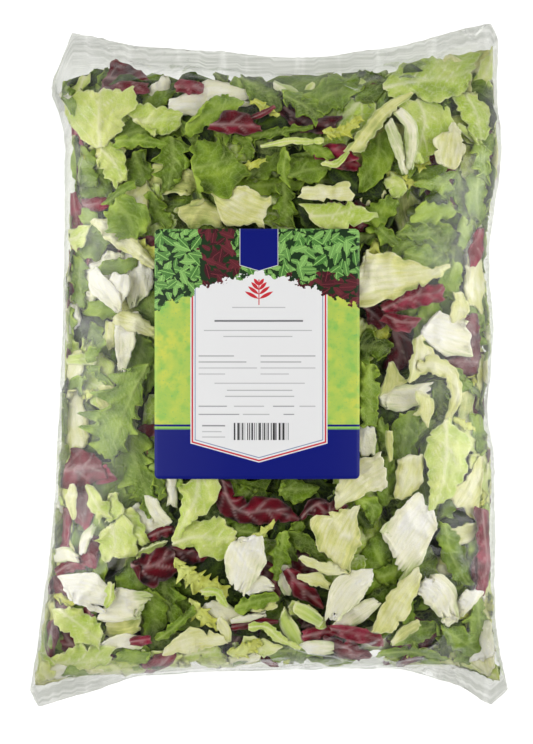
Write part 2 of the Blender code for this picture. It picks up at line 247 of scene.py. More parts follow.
# The leaves that show under the upper film. Each is: how deep it lies in mm, its tone from 0, dark, to 1,
# pale, and stations along its midrib (x, y, half width to its left, half width to its right), in mm.
SHOWN = {
    "green_leaves": (
        (1, 0.50, (-45, 112, 12, 14), (-32, 115, 15, 17), (-19, 119, 12, 12)),
        (6, 0.42, (-111, 156, 2, 4), (-103, 158, 4, 5), (-94, 157, 3, 5)),
        (6, 0.50, (-74, 150, 5, 5), (-66, 158, 7, 6), (-57, 164, 4, 4)),
        (1, 0.60, (-47, 138, 4, 6), (-33, 146, 8, 7), (-19, 154, 5, 5)),
        (4, 0.45, (-64, 131, 2, 3), (-50, 137, 3, 3)),
        (1, 0.55, (-88, 129, 2, 4), (-74, 129, 4, 4), (-59, 126, 1, 2)),
        (4, 0.55, (-106, 126, 5, 6), (-107, 113, 5, 6), (-101, 97, 3, 3)),
        (5, 0.40, (-97, 118, 5, 5), (-98, 106, 6, 7), (-97, 96, 5, 6)),
        (3, 0.35, (-78, 123, 4, 8), (-74, 113, 6, 9), (-72, 104, 3, 6)),
        (1, 0.60, (-88, 94, 6, 10), (-80, 84, 11, 14), (-77, 73, 5, 9)),
        (1, 0.50, (-94, 92, 2, 3), (-86, 99, 3, 4), (-77, 104, 2, 2)),
        (2, 0.55, (-108, 88, 3, 3), (-102, 84, 4, 5), (-97, 77, 3, 3)),
        (3, 0.50, (-100, 80, 7, 6), (-102, 72, 8, 7), (-104, 62, 5, 6)),
        (3, 0.45, (-97, 57, 3, 4), (-86, 57, 4, 5), (-75, 60, 1, 2)),
        (3, 0.60, (-104, 34, 3, 4), (-96, 33, 5, 5), (-89, 33, 3, 3)),
        (4, 0.45, (-73, 44, 4, 6), (-68, 32, 6, 6), (-66, 20, 4, 4)),
        (4, 0.50, (-73, 18, 5, 7), (-74, 6, 6, 8), (-78, -6, 4, 6)),
        (4, 0.55, (-12, 91, 3, 4), (-20, 104, 3, 4)),
        (3, 0.35, (-13, 109, 3, 3), (-3, 113, 5, 5), (8, 119, 3, 3)),
        (2, 0.42, (10, 108, 3, 2), (23, 112, 7, 7), (37, 113, 1, 1)),
        (1, 0.60, (10, 122, 3, 3), (8, 113, 3, 4), (9, 104, 3, 3)),
        (1, 0.55, (20, 127, 3, 4), (28, 124, 4, 5), (35, 118, 2, 3)),
        (2, 0.22, (-17, 167, 2, 3), (-5, 160, 6, 8), (7, 151, 5, 6)),
        (3, 0.50, (24, 150, 6, 6), (38, 158, 8, 8), (51, 158, 4, 4)),
        (3, 0.22, (45, 165, 5, 6), (55, 164, 7, 10), (67, 166, 3, 5)),
        (4, 0.40, (0, 158, 4, 5), (18, 164, 7, 7), (36, 164, 5, 6)),
        (2, 0.55, (63, 133, 6, 5), (61, 118, 9, 7), (51, 104, 4, 3)),
        (4, 0.60, (-25, 104, 2, 2), (-8, 103, 3, 4), (6, 104, 3, 4), (19, 103, 2, 2)),
        (2, 0.50, (51, 84, 3, 4), (62, 88, 5, 7), (72, 95, 4, 4)),
        (3, 0.42, (99, 157, 6, 6), (110, 158, 8, 7), (122, 165, 5, 4)),
        (4, 0.35, (71, 157, 6, 5), (84, 155, 5, 5), (94, 154, 3, 3)),
        (1, 0.66, (84, 105, 1, 2), (95, 104, 4, 5), (104, 104, 8, 6)),
        (0, 0.74, (83, 88, 7, 6), (94, 88, 5, 7), (105, 90, 3, 6)),
        (2, 0.55, (120, 109, 4, 5), (119, 97, 5, 6), (120, 84, 4, 5)),
        (2, 0.60, (112, 85, 2, 3), (113, 76, 4, 5), (110, 67, 1, 2)),
        (2, 0.50, (77, 64, 3, 4), (90, 61, 7, 6), (102, 58, 5, 3)),
        (4, 0.28, (106, 71, 5, 5), (105, 57, 4, 4)),
        (2, 0.60, (107, 59, 5, 4), (103, 48, 6, 6), (104, 38, 4, 4)),
        (0, 0.58, (57, 1, 6, 7), (57, -16, 6, 7), (56, -34, 6, 5)),
        (2, 0.45, (80, -26, 6, 6), (77, -40, 7, 7), (74, -57, 2, 3)),
        (3, 0.35, (62, -31, 3, 3), (66, -41, 4, 4), (67, -51, 3, 3)),
        (2, 0.45, (67, -51, 6, 5), (66, -64, 7, 6), (68, -78, 6, 5)),
        (1, 0.50, (49, -75, 2, 3), (58, -80, 6, 5), (58, -90, 1, 1)),
        (3, 0.28, (50, -84, 3, 3), (56, -93, 3, 3)),
        (2, 0.42, (3, -70, 3, 3), (14, -70, 6, 7), (28, -70, 1, 2)),
        (3, 0.32, (18, -89, 3, 3), (26, -89, 4, 4), (33, -86, 3, 3)),
        (2, 0.25, (13, -94, 3, 4), (22, -102, 4, 5), (29, -111, 2, 2)),
        (1, 0.58, (-19, -137, 3, 5), (-8, -134, 4, 5), (5, -131, 2, 3)),
        (1, 0.50, (-65, -157, 2, 2), (-55, -150, 3, 3), (-43, -138, 2, 2)),
        (2, 0.60, (-88, -167, 2, 3), (-78, -167, 4, 5), (-67, -168, 3, 3)),
        (1, 0.45, (100, -90, 4, 4), (104, -108, 8, 6), (114, -126, 4, 5)),
        (3, 0.50, (61, -121, 4, 5), (75, -116, 5, 5), (93, -105, 3, 3)),
        (2, 0.42, (72, -161, 3, 3), (85, -152, 5, 6), (101, -149, 2, 3)),
        (1, 0.50, (99, -151, 3, 3), (110, -158, 7, 7), (121, -166, 4, 4)),
        (1, 0.34, (107, -170, 4, 3), (117, -176, 8, 8), (126, -187, 2, 3)),
        (2, 0.45, (63, -166, 2, 2), (82, -165, 3, 4), (98, -171, 4, 4), (110, -178, 2, 2)),
        (2, 0.62, (119, -28, 3, 3), (122, -40, 4, 5), (124, -53, 2, 3)),
        (3, 0.40, (-68, -128, 6, 6), (-66, -142, 6, 6), (-66, -156, 4, 4)),
        (3, 0.40, (86, -63, 5, 6), (88, -76, 6, 8), (80, -80, 4, 5)),
        (3, 0.50, (70, 104, 5, 5), (77, 115, 5, 6), (74, 128, 4, 4)),
        (3, 0.40, (88, 76, 5, 5), (98, 72, 6, 6), (106, 78, 3, 3)),
        (4, 0.32, (-82, -72, 5, 5), (-88, -82, 6, 6), (-84, -92, 4, 4)),
        (4, 0.35, (10, -140, 5, 5), (2, -146, 6, 5), (-4, -152, 4, 4)),
        (4, 0.38, (96, -118, 6, 5), (84, -112, 6, 6), (70, -108, 4, 4)),
    ),
    "light_leaves": (
        (1, 0.52, (66, 160, 5, 4), (82, 164, 11, 10), (100, 166, 13, 12), (118, 171, 8, 8)),
        (1, 0.58, (85, 154, 10, 11), (89, 141, 14, 12), (85, 124, 9, 9), (80, 110, 4, 5)),
        (1, 0.56, (112, 158, 5, 6), (119, 146, 7, 9), (122, 130, 6, 7)),
        (1, 0.90, (-97, 126, 3, 5), (-98, 137, 14, 14), (-98, 148, 19, 18), (-97, 159, 12, 17)),
        (2, 0.66, (-79, 140, 6, 8), (-66, 141, 9, 10), (-51, 142, 3, 5)),
        (6, 0.72, (-98, 157, 4, 3), (-99, 171, 4, 3)),
        (1, 0.72, (-97, 125, 7, 9), (-88, 115, 7, 8), (-84, 105, 3, 5)),
        (1, 0.80, (-118, 72, 6, 7), (-110, 74, 6, 6), (-104, 77, 3, 3)),
        (0, 0.72, (-40, -63, 10, 10), (-42, -75, 12, 10), (-48, -87, 5, 4), (-53, -98, 2, 2)),
        (1, 0.74, (-55, -101, 2, 3), (-42, -97, 9, 8), (-30, -98, 11, 12), (-19, -97, 7, 10)),
        (0, 0.74, (100, -31, 4, 3), (101, -42, 13, 13), (100, -58, 13, 12), (97, -71, 8, 7), (93, -82, 2, 2)),
        (1, 0.78, (-105, -68, 2, 1), (-98, -80, 6, 5), (-93, -87, 3, 5)),
        (1, 0.72, (-91, -73, 4, 3), (-89, -82, 5, 4), (-92, -89, 1, 2)),
        (1, 0.86, (-91, -90, 8, 9), (-88, -100, 13, 11), (-91, -111, 4, 4)),
        (2, 0.68, (-88, -81, 3, 3), (-78, -90, 6, 6), (-71, -102, 2, 2)),
        (1, 0.72, (-121, -140, 3, 6), (-110, -148, 9, 9), (-97, -158, 6, 6)),
        (1, 0.70, (-125, -172, 5, 5), (-110, -171, 9, 6), (-91, -168, 7, 5)),
        (2, 0.66, (-109, -147, 5, 5), (-104, -158, 7, 7), (-96, -168, 5, 5)),
        (0, 0.72, (-5, 125, 1, 1), (10, 128, 2, 2), (22, 128, 2, 2), (31, 129, 1, 2)),
        (1, 0.68, (23, 85, 8, 7), (37, 86, 7, 9), (52, 91, 6, 10)),
        (0, 0.64, (31, 116, 1, 2), (38, 115, 2, 2), (45, 122, 1, 1)),
        (0, 0.66, (-12, -149, 2, 2), (-2, -149, 3, 3), (6, -156, 3, 3), (18, -162, 1, 1)),
        (0, 0.62, (-39, -128, 1, 3), (-30, -129, 3, 3), (-24, -137, 1, 1)),
        (0, 0.68, (-90, -124, 2, 3), (-91, -132, 3, 3), (-94, -138, 1, 2)),
        (2, 0.62, (66, 107, 3, 3), (73, 103, 5, 5), (72, 94, 3, 3)),
        (3, 0.70, (100, 131, 6, 6), (112, 137, 6, 6), (122, 131, 5, 5)),
        (2, 0.62, (122, 160, 5, 5), (121, 148, 6, 7), (121, 136, 5, 6)),
        (3, 0.66, (-49, -167, 3, 3), (-38, -165, 4, 4), (-28, -165, 3, 3)),
        (1, 0.66, (11, -138, 3, 3), (20, -141, 5, 4), (32, -147, 3, 4)),
        (3, 0.62, (111, 120, 6, 6), (118, 112, 6, 6), (124, 122, 4, 5)),
        (3, 0.70, (-107, 168, 3, 3), (-112, 152, 4, 4), (-114, 140, 3, 3)),
    ),
    "frilly_leaves": (
        (2, 0.36, (-56, 131, 9, 9), (-55, 116, 12, 11), (-58, 100, 5, 6)),
        (3, 0.40, (-51, 138, 5, 4), (-41, 127, 5, 4)),
        (3, 0.48, (-109, 63, 4, 6), (-109, 48, 5, 7), (-108, 33, 3, 6)),
        (1, 0.52, (-69, 1, 3, 10), (-79, -18, 8, 20), (-86, -36, 12, 22), (-93, -53, 6, 9)),
        (3, 0.50, (-80, -38, 8, 6), (-76, -56, 10, 12), (-70, -72, 6, 8), (-69, -87, 1, 1)),
        (1, 0.44, (8, -94, 5, 5), (6, -108, 7, 7), (3, -122, 1, 2)),
        (2, 0.42, (18, -88, 4, 4), (12, -98, 5, 5), (14, -111, 3, 3)),
        (2, 0.40, (-20, 132, 3, 3), (-13, 126, 5, 5), (-11, 117, 3, 3)),
        (2, 0.46, (-32, 133, 2, 3), (-15, 131, 4, 4), (5, 134, 4, 4), (25, 137, 1, 1)),
        (1, 0.28, (8, 156, 5, 5), (19, 150, 8, 8), (29, 142, 5, 6)),
        (2, 0.32, (8, 104, 6, 5), (9, 92, 7, 7), (10, 79, 6, 7)),
        (3, 0.40, (108, 113, 6, 5), (110, 100, 7, 7), (113, 85, 5, 5)),
        (1, 0.62, (122, 128, 5, 7), (123, 117, 6, 8), (125, 105, 3, 5)),
        (2, 0.42, (58, 82, 5, 5), (65, 76, 6, 7), (72, 69, 4, 4)),
        (2, 0.42, (72, 75, 4, 4), (85, 75, 7, 6), (98, 78, 3, 4)),
        (2, 0.24, (51, 10, 9, 9), (60, 11, 9, 9), (69, 8, 4, 5)),
        (3, 0.22, (97, -8, 5, 5), (98, -19, 7, 7), (98, -31, 4, 4)),
        (2, 0.38, (106, -2, 2, 3), (113, -10, 4, 5), (122, -18, 1, 1)),
        (3, 0.28, (-60, -117, 8, 6), (-60, -131, 10, 10), (-57, -147, 8, 6)),
        (2, 0.55, (120, -134, 5, 6), (121, -148, 6, 9), (124, -166, 3, 5)),
        (1, 0.48, (-105, 3, 3, 4), (-99, 9, 5, 5), (-96, 15, 2, 2)),
        (2, 0.46, (-105, 0, 3, 3), (-98, -4, 4, 4), (-92, -11, 2, 2)),
        (2, 0.44, (-64, -63, 4, 4), (-60, -75, 3, 3)),
        (4, 0.30, (-104, 22, 6, 6), (-98, 16, 6, 6), (-90, 8, 5, 5)),
        (4, 0.34, (-40, -150, 6, 6), (-48, -142, 7, 7), (-50, -132, 5, 5)),
        (4, 0.30, (112, -150, 6, 6), (104, -160, 7, 7), (98, -168, 4, 4)),
        (3, 0.40, (-66, 98, 5, 5), (-64, 88, 6, 6), (-56, 80, 4, 4)),
    ),
    "yellow_frills": (
        (0, 0.52, (31, 133, 3, 4), (42, 134, 6, 6), (53, 142, 4, 3)),
        (1, 0.55, (-20, 110, 3, 3), (-12, 113, 5, 4), (-2, 118, 1, 2)),
        (1, 0.62, (91, 129, 3, 4), (88, 119, 6, 6), (86, 111, 2, 2)),
        (1, 0.80, (-54, -110, 2, 3), (-46, -119, 7, 8), (-38, -124, 8, 9), (-24, -128, 4, 5)),
        (1, 0.76, (-45, -135, 4, 4), (-38, -142, 6, 7), (-29, -151, 1, 1)),
        (1, 0.82, (-23, -166, 3, 4), (-14, -163, 6, 6), (-5, -158, 4, 4)),
        (1, 0.80, (105, -30, 2, 2), (112, -34, 4, 4), (118, -36, 1, 1)),
        (1, 0.86, (-10, -98, 3, 2), (-4, -95, 4, 3), (3, -88, 1, 1)),
        (1, 0.50, (-9, 153, 2, 3), (-2, 148, 4, 5), (5, 143, 2, 2)),
        (2, 0.55, (67, 110, 3, 3), (76, 106, 4, 4), (84, 103, 2, 2)),
        (2, 0.55, (-76, 70, 4, 4), (-70, 66, 5, 5), (-64, 62, 3, 3)),
        (2, 0.50, (-124, -132, 2, 3), (-119, -134, 4, 4), (-113, -138, 2, 2)),
        (3, 0.45, (110, -142, 4, 4), (116, -148, 4, 4), (120, -156, 3, 3)),
    ),
    "pale_leaves": (
        (3, 0.45, (-52, 87, 5, 7), (-40, 88, 7, 8), (-27, 85, 3, 4)),
        (1, 0.66, (-34, 102, 3, 2), (-18, 92, 10, 11), (-2, 86, 9, 7)),
        (1, 0.84, (-101, 84, 1, 2), (-88, 76, 7, 6), (-77, 66, 5, 4), (-65, 56, 2, 2)),
        (4, 0.32, (-89, 31, 2, 3), (-80, 35, 3, 4), (-75, 31, 2, 3)),
        (2, 0.72, (-88, 29, 3, 4), (-76, 25, 4, 5), (-65, 20, 2, 3)),
        (3, 0.55, (-90, 25, 2, 3), (-91, 18, 3, 3), (-90, 10, 2, 2)),
        (4, 0.90, (-113, -19, 4, 3), (-111, -33, 5, 5), (-109, -47, 4, 6)),
        (0, 0.68, (-112, -68, 2, 3), (-114, -77, 4, 3), (-112, -88, 1, 1)),
        (0, 0.78, (48, -80, 3, 3), (40, -94, 12, 16), (34, -109, 14, 9)),
        (1, 0.82, (82, -51, 5, 7), (79, -63, 8, 7), (74, -76, 3, 3)),
        (1, 0.80, (122, -52, 1, 1), (117, -68, 5, 6), (109, -81, 12, 12)),
        (1, 0.48, (69, 2, 1, 1), (70, -6, 5, 4), (69, -14, 9, 7)),
        (0, 0.60, (86, -15, 3, 3), (89, -22, 5, 5), (88, -32, 3, 6)),
        (0, 0.80, (84, 0, 3, 3), (94, 1, 5, 6), (104, -5, 4, 5), (107, -17, 3, 4), (101, -32, 3, 2)),
        (0, 0.84, (85, 17, 2, 3), (85, 5, 9, 5), (81, -9, 3, 3)),
        (0, 0.82, (48, 49, 15, 16), (70, 51, 13, 13), (90, 53, 4, 6), (103, 57, 1, 1)),
        (2, 0.78, (120, 62, 4, 5), (118, 48, 5, 6), (119, 33, 3, 4)),
        (1, 0.74, (108, 42, 3, 3), (109, 34, 5, 5), (108, 26, 4, 4)),
        (0, 0.55, (82, 157, 1, 1), (67, 147, 4, 4), (56, 134, 5, 4), (47, 122, 5, 5)),
        (0, 0.78, (18, 99, 3, 4), (32, 99, 4, 6), (46, 100, 5, 6)),
        (1, 0.50, (68, -37, 2, 2), (68, -45, 2, 2), (69, -54, 1, 1)),
        (3, 0.35, (112, -13, 3, 4), (113, -22, 4, 4), (112, -30, 3, 3)),
        (3, 0.45, (124, 6, 1, 2), (123, -10, 1, 3), (121, -27, 1, 2)),
        (2, 0.35, (-94, -149, 4, 5), (-84, -149, 4, 6), (-74, -146, 3, 4)),
        (0, 0.80, (-60, -163, 1, 3), (-44, -157, 7, 8), (-26, -156, 2, 3)),
        (0, 0.80, (-29, -144, 3, 2), (-25, -151, 3, 4), (-24, -158, 2, 3)),
        (0, 0.86, (18, -108, 1, 2), (30, -114, 3, 4), (43, -115, 3, 4)),
        (1, 0.70, (16, -119, 1, 2), (26, -121, 3, 4), (34, -125, 2, 2)),
        (1, 0.60, (-11, -139, 1, 1), (-3, -138, 2, 2), (4, -136, 2, 2)),
        (1, 0.55, (70, -159, 1, 2), (78, -152, 3, 4), (86, -147, 2, 2)),
        (2, 0.70, (103, -97, 3, 4), (112, -96, 4, 5), (121, -92, 2, 2)),
        (0, 0.70, (86, -118, 2, 3), (75, -134, 8, 9), (65, -153, 5, 7)),
        (0, 0.86, (65, -58, 11, 10), (51, -66, 9, 12), (37, -79, 2, 4)),
        (0, 0.84, (106, 139, 3, 2), (103, 127, 9, 9), (101, 114, 7, 6)),
        (3, 0.50, (124, -136, 2, 3), (126, -150, 2, 3), (128, -170, 2, 3)),
        (3, 0.72, (104, -138, 3, 3), (114, -142, 4, 4), (122, -138, 3, 3)),
    ),
    "white_ribs": (
        (3, 0.72, (-58, 151, 2, 3), (-42, 152, 6, 7), (-30, 155, 8, 6), (-10, 156, 4, 4)),
        (1, 0.86, (-101, 55, 2, 3), (-97, 46, 5, 6), (-90, 38, 5, 4), (-86, 31, 1, 2)),
        (1, 0.92, (-84, 52, 5, 5), (-86, 44, 6, 6), (-89, 34, 2, 2)),
        (3, 0.68, (-73, 60, 4, 7), (-74, 48, 6, 8), (-77, 34, 1, 2)),
        (2, 0.66, (-81, 28, 5, 6), (-82, 12, 4, 5), (-84, -4, 1, 2)),
        (0, 0.80, (-8, -97, 4, 8), (-12, -110, 10, 14), (-18, -128, 4, 6)),
        (0, 0.96, (91, -80, 8, 10), (82, -92, 13, 14), (70, -109, 15, 13)),
        (1, 0.94, (89, 22, 7, 5), (101, 19, 10, 11), (115, 15, 9, 9)),
        (1, 0.80, (-14, -129, 3, 3), (-6, -125, 5, 4), (3, -126, 2, 2)),
        (0, 0.78, (58, -120, 2, 4), (46, -128, 8, 11), (36, -145, 3, 4)),
        (1, 0.70, (37, -149, 1, 2), (48, -142, 4, 6), (61, -134, 3, 3)),
        (0, 0.86, (86, -123, 5, 6), (96, -130, 11, 9), (103, -144, 5, 5)),
        (0, 0.90, (119, -129, 4, 5), (110, -138, 5, 5), (100, -148, 3, 3)),
        (0, 0.94, (-118, -127, 6, 6), (-105, -128, 10, 10), (-91, -133, 5, 10)),
        (1, 0.62, (-93, -136, 8, 9), (-81, -136, 8, 9), (-70, -135, 4, 6)),
        (2, 0.62, (-36, -136, 3, 4), (-27, -141, 5, 6), (-16, -143, 2, 3)),
        (0, 0.44, (74, 147, 2, 4), (81, 138, 3, 5), (82, 125, 3, 5), (80, 112, 1, 2)),
        (0, 0.38, (68, 140, 2, 3), (72, 130, 3, 4), (76, 119, 3, 4), (78, 109, 1, 2)),
        (2, 0.72, (62, -17, 3, 5), (75, -17, 5, 7), (91, -15, 4, 4)),
        (1, 0.74, (-67, -75, 2, 3), (-63, -84, 3, 4), (-57, -90, 2, 2)),
        (3, 0.66, (-78, -80, 3, 3), (-68, -92, 5, 5), (-57, -90, 2, 2)),
        (2, 0.66, (-55, -64, 2, 3), (-55, -80, 2, 3)),
        (1, 0.80, (-125, -110, 3, 3), (-117, -108, 4, 4), (-110, -110, 1, 2)),
        (1, 0.72, (-98, -161, 1, 3), (-84, -158, 4, 4), (-71, -159, 3, 4)),
        (1, 0.74, (20, -163, 3, 3), (28, -162, 4, 4), (37, -162, 3, 3)),
        (1, 0.72, (-22, -146, 1, 1), (-12, -144, 2, 2), (-2, -141, 1, 1)),
        (2, 0.64, (55, -34, 4, 5), (55, -42, 5, 5), (55, -51, 4, 4)),
        (2, 0.70, (9, -112, 2, 2), (9, -122, 3, 3), (11, -131, 1, 2)),
        (1, 0.80, (-108, -108, 1, 2), (-106, -99, 2, 3), (-100, -91, 1, 1)),
        (3, 0.80, (126, 119, 2, 2), (126, 108, 3, 3), (127, 99, 2, 2)),
    ),
    "red_leaves": (
        (3, 0.42, (-95, 167, 8, 8), (-84, 166, 8, 8), (-70, 163, 4, 4)),
        (3, 0.62, (-113, 100, 1, 2), (-112, 90, 3, 3), (-110, 79, 1, 3)),
        (3, 0.64, (-110, 92, 3, 3), (-100, 93, 3, 4), (-91, 94, 2, 2)),
        (3, 0.60, (-116, 66, 3, 2), (-115, 55, 3, 2)),
        (3, 0.55, (-114, 53, 2, 2), (-112, 42, 3, 2)),
        (1, 0.48, (-118, -60, 7, 8), (-107, -58, 10, 10), (-96, -57, 6, 7)),
        (1, 0.66, (-97, -62, 4, 5), (-90, -61, 4, 4)),
        (3, 0.52, (-105, -68, 3, 4), (-105, -80, 4, 5), (-108, -92, 3, 4)),
        (3, 0.70, (-119, -82, 3, 4), (-118, -92, 3, 4), (-118, -105, 2, 3)),
        (1, 0.52, (-104, -95, 6, 4), (-104, -106, 7, 5), (-102, -115, 2, 4)),
        (2, 0.36, (-72, -99, 1, 2), (-62, -94, 2, 4), (-54, -92, 1, 4)),
        (1, 0.30, (-80, -114, 1, 3), (-68, -114, 8, 11), (-54, -107, 5, 7)),
        (2, 0.22, (-58, -104, 3, 5), (-46, -107, 4, 5), (-35, -108, 2, 3)),
        (1, 0.34, (-27, -65, 4, 5), (-22, -78, 6, 7), (-13, -83, 7, 6), (1, -82, 7, 7), (17, -87, 1, 1)),
        (1, 0.36, (17, -87, 1, 1), (26, -79, 4, 5), (33, -83, 5, 4), (41, -77, 3, 4)),
        (0, 0.58, (122, -82, 4, 5), (124, -100, 3, 5), (125, -115, 4, 6), (121, -133, 2, 3)),
        (2, 0.34, (116, 30, 3, 4), (116, 18, 4, 4), (119, 5, 2, 4)),
        (1, 0.64, (121, 79, 2, 2), (119, 68, 5, 4), (117, 57, 1, 2)),
        (0, 0.62, (64, 32, 3, 3), (80, 39, 6, 7), (99, 42, 5, 5)),
        (0, 0.60, (65, 29, 2, 4), (75, 25, 4, 6), (85, 25, 2, 3)),
        (2, 0.26, (54, 33, 3, 3), (60, 29, 5, 5), (65, 22, 2, 3)),
        (4, 0.20, (70, 20, 6, 5), (75, 8, 7, 6), (72, -2, 4, 5)),
        (0, 0.44, (-33, 138, 4, 3), (-20, 138, 9, 6), (-5, 136, 2, 3)),
        (0, 0.44, (-13, 141, 1, 1), (-5, 144, 2, 2), (3, 149, 1, 1)),
        (1, 0.60, (26, 121, 3, 3), (38, 123, 4, 5), (47, 117, 3, 4)),
        (2, 0.48, (34, 118, 3, 3), (43, 116, 4, 4), (52, 114, 1, 2)),
        (3, 0.14, (8, 149, 2, 3), (20, 141, 5, 5), (38, 138, 4, 5)),
        (1, 0.34, (-125, -146, 4, 2), (-127, -160, 4, 4), (-130, -175, 4, 3), (-131, -185, 2, 2)),
        (1, 0.60, (-123, -119, 2, 3), (-115, -114, 4, 4), (-107, -113, 2, 3)),
        (1, 0.38, (-22, -149, 2, 2), (-10, -147, 3, 3), (5, -146, 1, 1)),
        (2, 0.36, (-4, -112, 3, 2), (1, -121, 5, 4), (6, -129, 2, 2)),
        (1, 0.42, (10, -115, 2, 3), (19, -127, 6, 5), (31, -138, 1, 1)),
        (0, 0.58, (35, -150, 2, 3), (48, -153, 4, 5), (65, -157, 3, 4)),
        (1, 0.34, (31, -157, 3, 4), (45, -163, 5, 6), (58, -169, 2, 3)),
        (1, 0.56, (19, -155, 3, 3), (28, -153, 4, 4), (37, -152, 3, 3)),
        (0, 0.66, (-80, -158, 2, 2), (-74, -157, 3, 4), (-68, -156, 2, 3)),
        (3, 0.30, (102, 3, 3, 4), (112, 2, 5, 6), (124, 4, 3, 5)),
        (2, 0.55, (-54, 161, 2, 3), (-46, 161, 4, 4), (-38, 160, 2, 2)),
        (3, 0.30, (14, -108, 5, 5), (22, -114, 5, 6), (26, -120, 3, 3)),
        (3, 0.20, (18, -150, 4, 4), (26, -148, 4, 5), (34, -150, 3, 3)),
    ),
    "stems": (
        (1, 0.62, (-118, 3, 2, 2), (-108, 4, 3, 3), (-99, 5, 3, 4)),
        (1, 0.46, (-76, -109, 2, 2), (-66, -104, 2, 2), (-59, -100, 1, 1)),
        (1, 0.55, (7, -141, 3, 3), (12, -151, 4, 4), (18, -162, 3, 3)),
        (0, 0.60, (14, -137, 3, 3), (21, -141, 4, 4), (30, -147, 3, 3)),
        (2, 0.55, (108, 139, 1, 1), (114, 134, 2, 2), (120, 129, 1, 1)),
    ),
}
FILM_GAP = 1.2       # mm between the film and the highest leaves
LAYER = 3.8          # mm from one of the shown leaves' layers to the next


def along_midrib(stations, count):
    """A smooth curve through the stations, read at count even places. Rows are x, y, left, right."""
    s = np.asarray(stations, float)
    if len(s) == 2:
        s = np.insert(s, 1, s.mean(0), axis=0)
    slope = np.gradient(s, axis=0)
    at = np.linspace(0, len(s) - 1, count)
    i = np.minimum(at.astype(int), len(s) - 2)
    u = (at - i)[:, None]
    return (
        (2 * u**3 - 3 * u**2 + 1) * s[i] + (u**3 - 2 * u**2 + u) * slope[i]
        + (3 * u**2 - 2 * u**3) * s[i + 1] + (u**3 - u**2) * slope[i + 1]
    )


def comb(value, spacing):
    """A rounded saw from 0 to 1 and back, once every spacing."""
    phase = value / spacing
    return np.abs(2 * (phase - np.floor(phase)) - 1)


def ridged(x, y, length, seed):
    """Sharp-crested folds from 0 to 1."""
    return np.clip(1 - 2.2 * np.abs(soft_noise(x / length, y / length, seed)), 0, 1) ** 1.3


def closed_sheet(upper, lower):
    """The points and faces of a closed slab between two grids of points, facing out."""
    rows, columns = upper.shape[:2]
    base = rows * columns
    number = np.arange(base).reshape(rows, columns)
    quads = np.stack([number[:-1, :-1], number[1:, :-1], number[1:, 1:], number[:-1, 1:]], -1).reshape(-1, 4)
    rim = np.concatenate([number[0, :], number[1:, -1], number[-1, -2::-1], number[-2:0:-1, 0]])
    after = np.roll(rim, -1)
    walls = np.stack([rim, after, after + base, rim + base], 1)
    points = np.concatenate([upper.reshape(-1, 3), lower.reshape(-1, 3)])
    return points, np.concatenate([quads, quads[:, ::-1] + base, walls])


def new_mesh(name, points, faces):
    mesh = bpy.data.meshes.new(name)
    mesh.vertices.add(len(points))
    mesh.vertices.foreach_set("co", points.astype(np.float32).ravel())
    mesh.loops.add(faces.size)
    mesh.loops.foreach_set("vertex_index", faces.astype(np.int32).ravel())
    mesh.polygons.add(len(faces))
    mesh.polygons.foreach_set("loop_start", np.arange(0, faces.size, 4, dtype=np.int32))
    mesh.update(calc_edges=True)
    mesh.validate()
    mesh.shade_smooth()
    return mesh


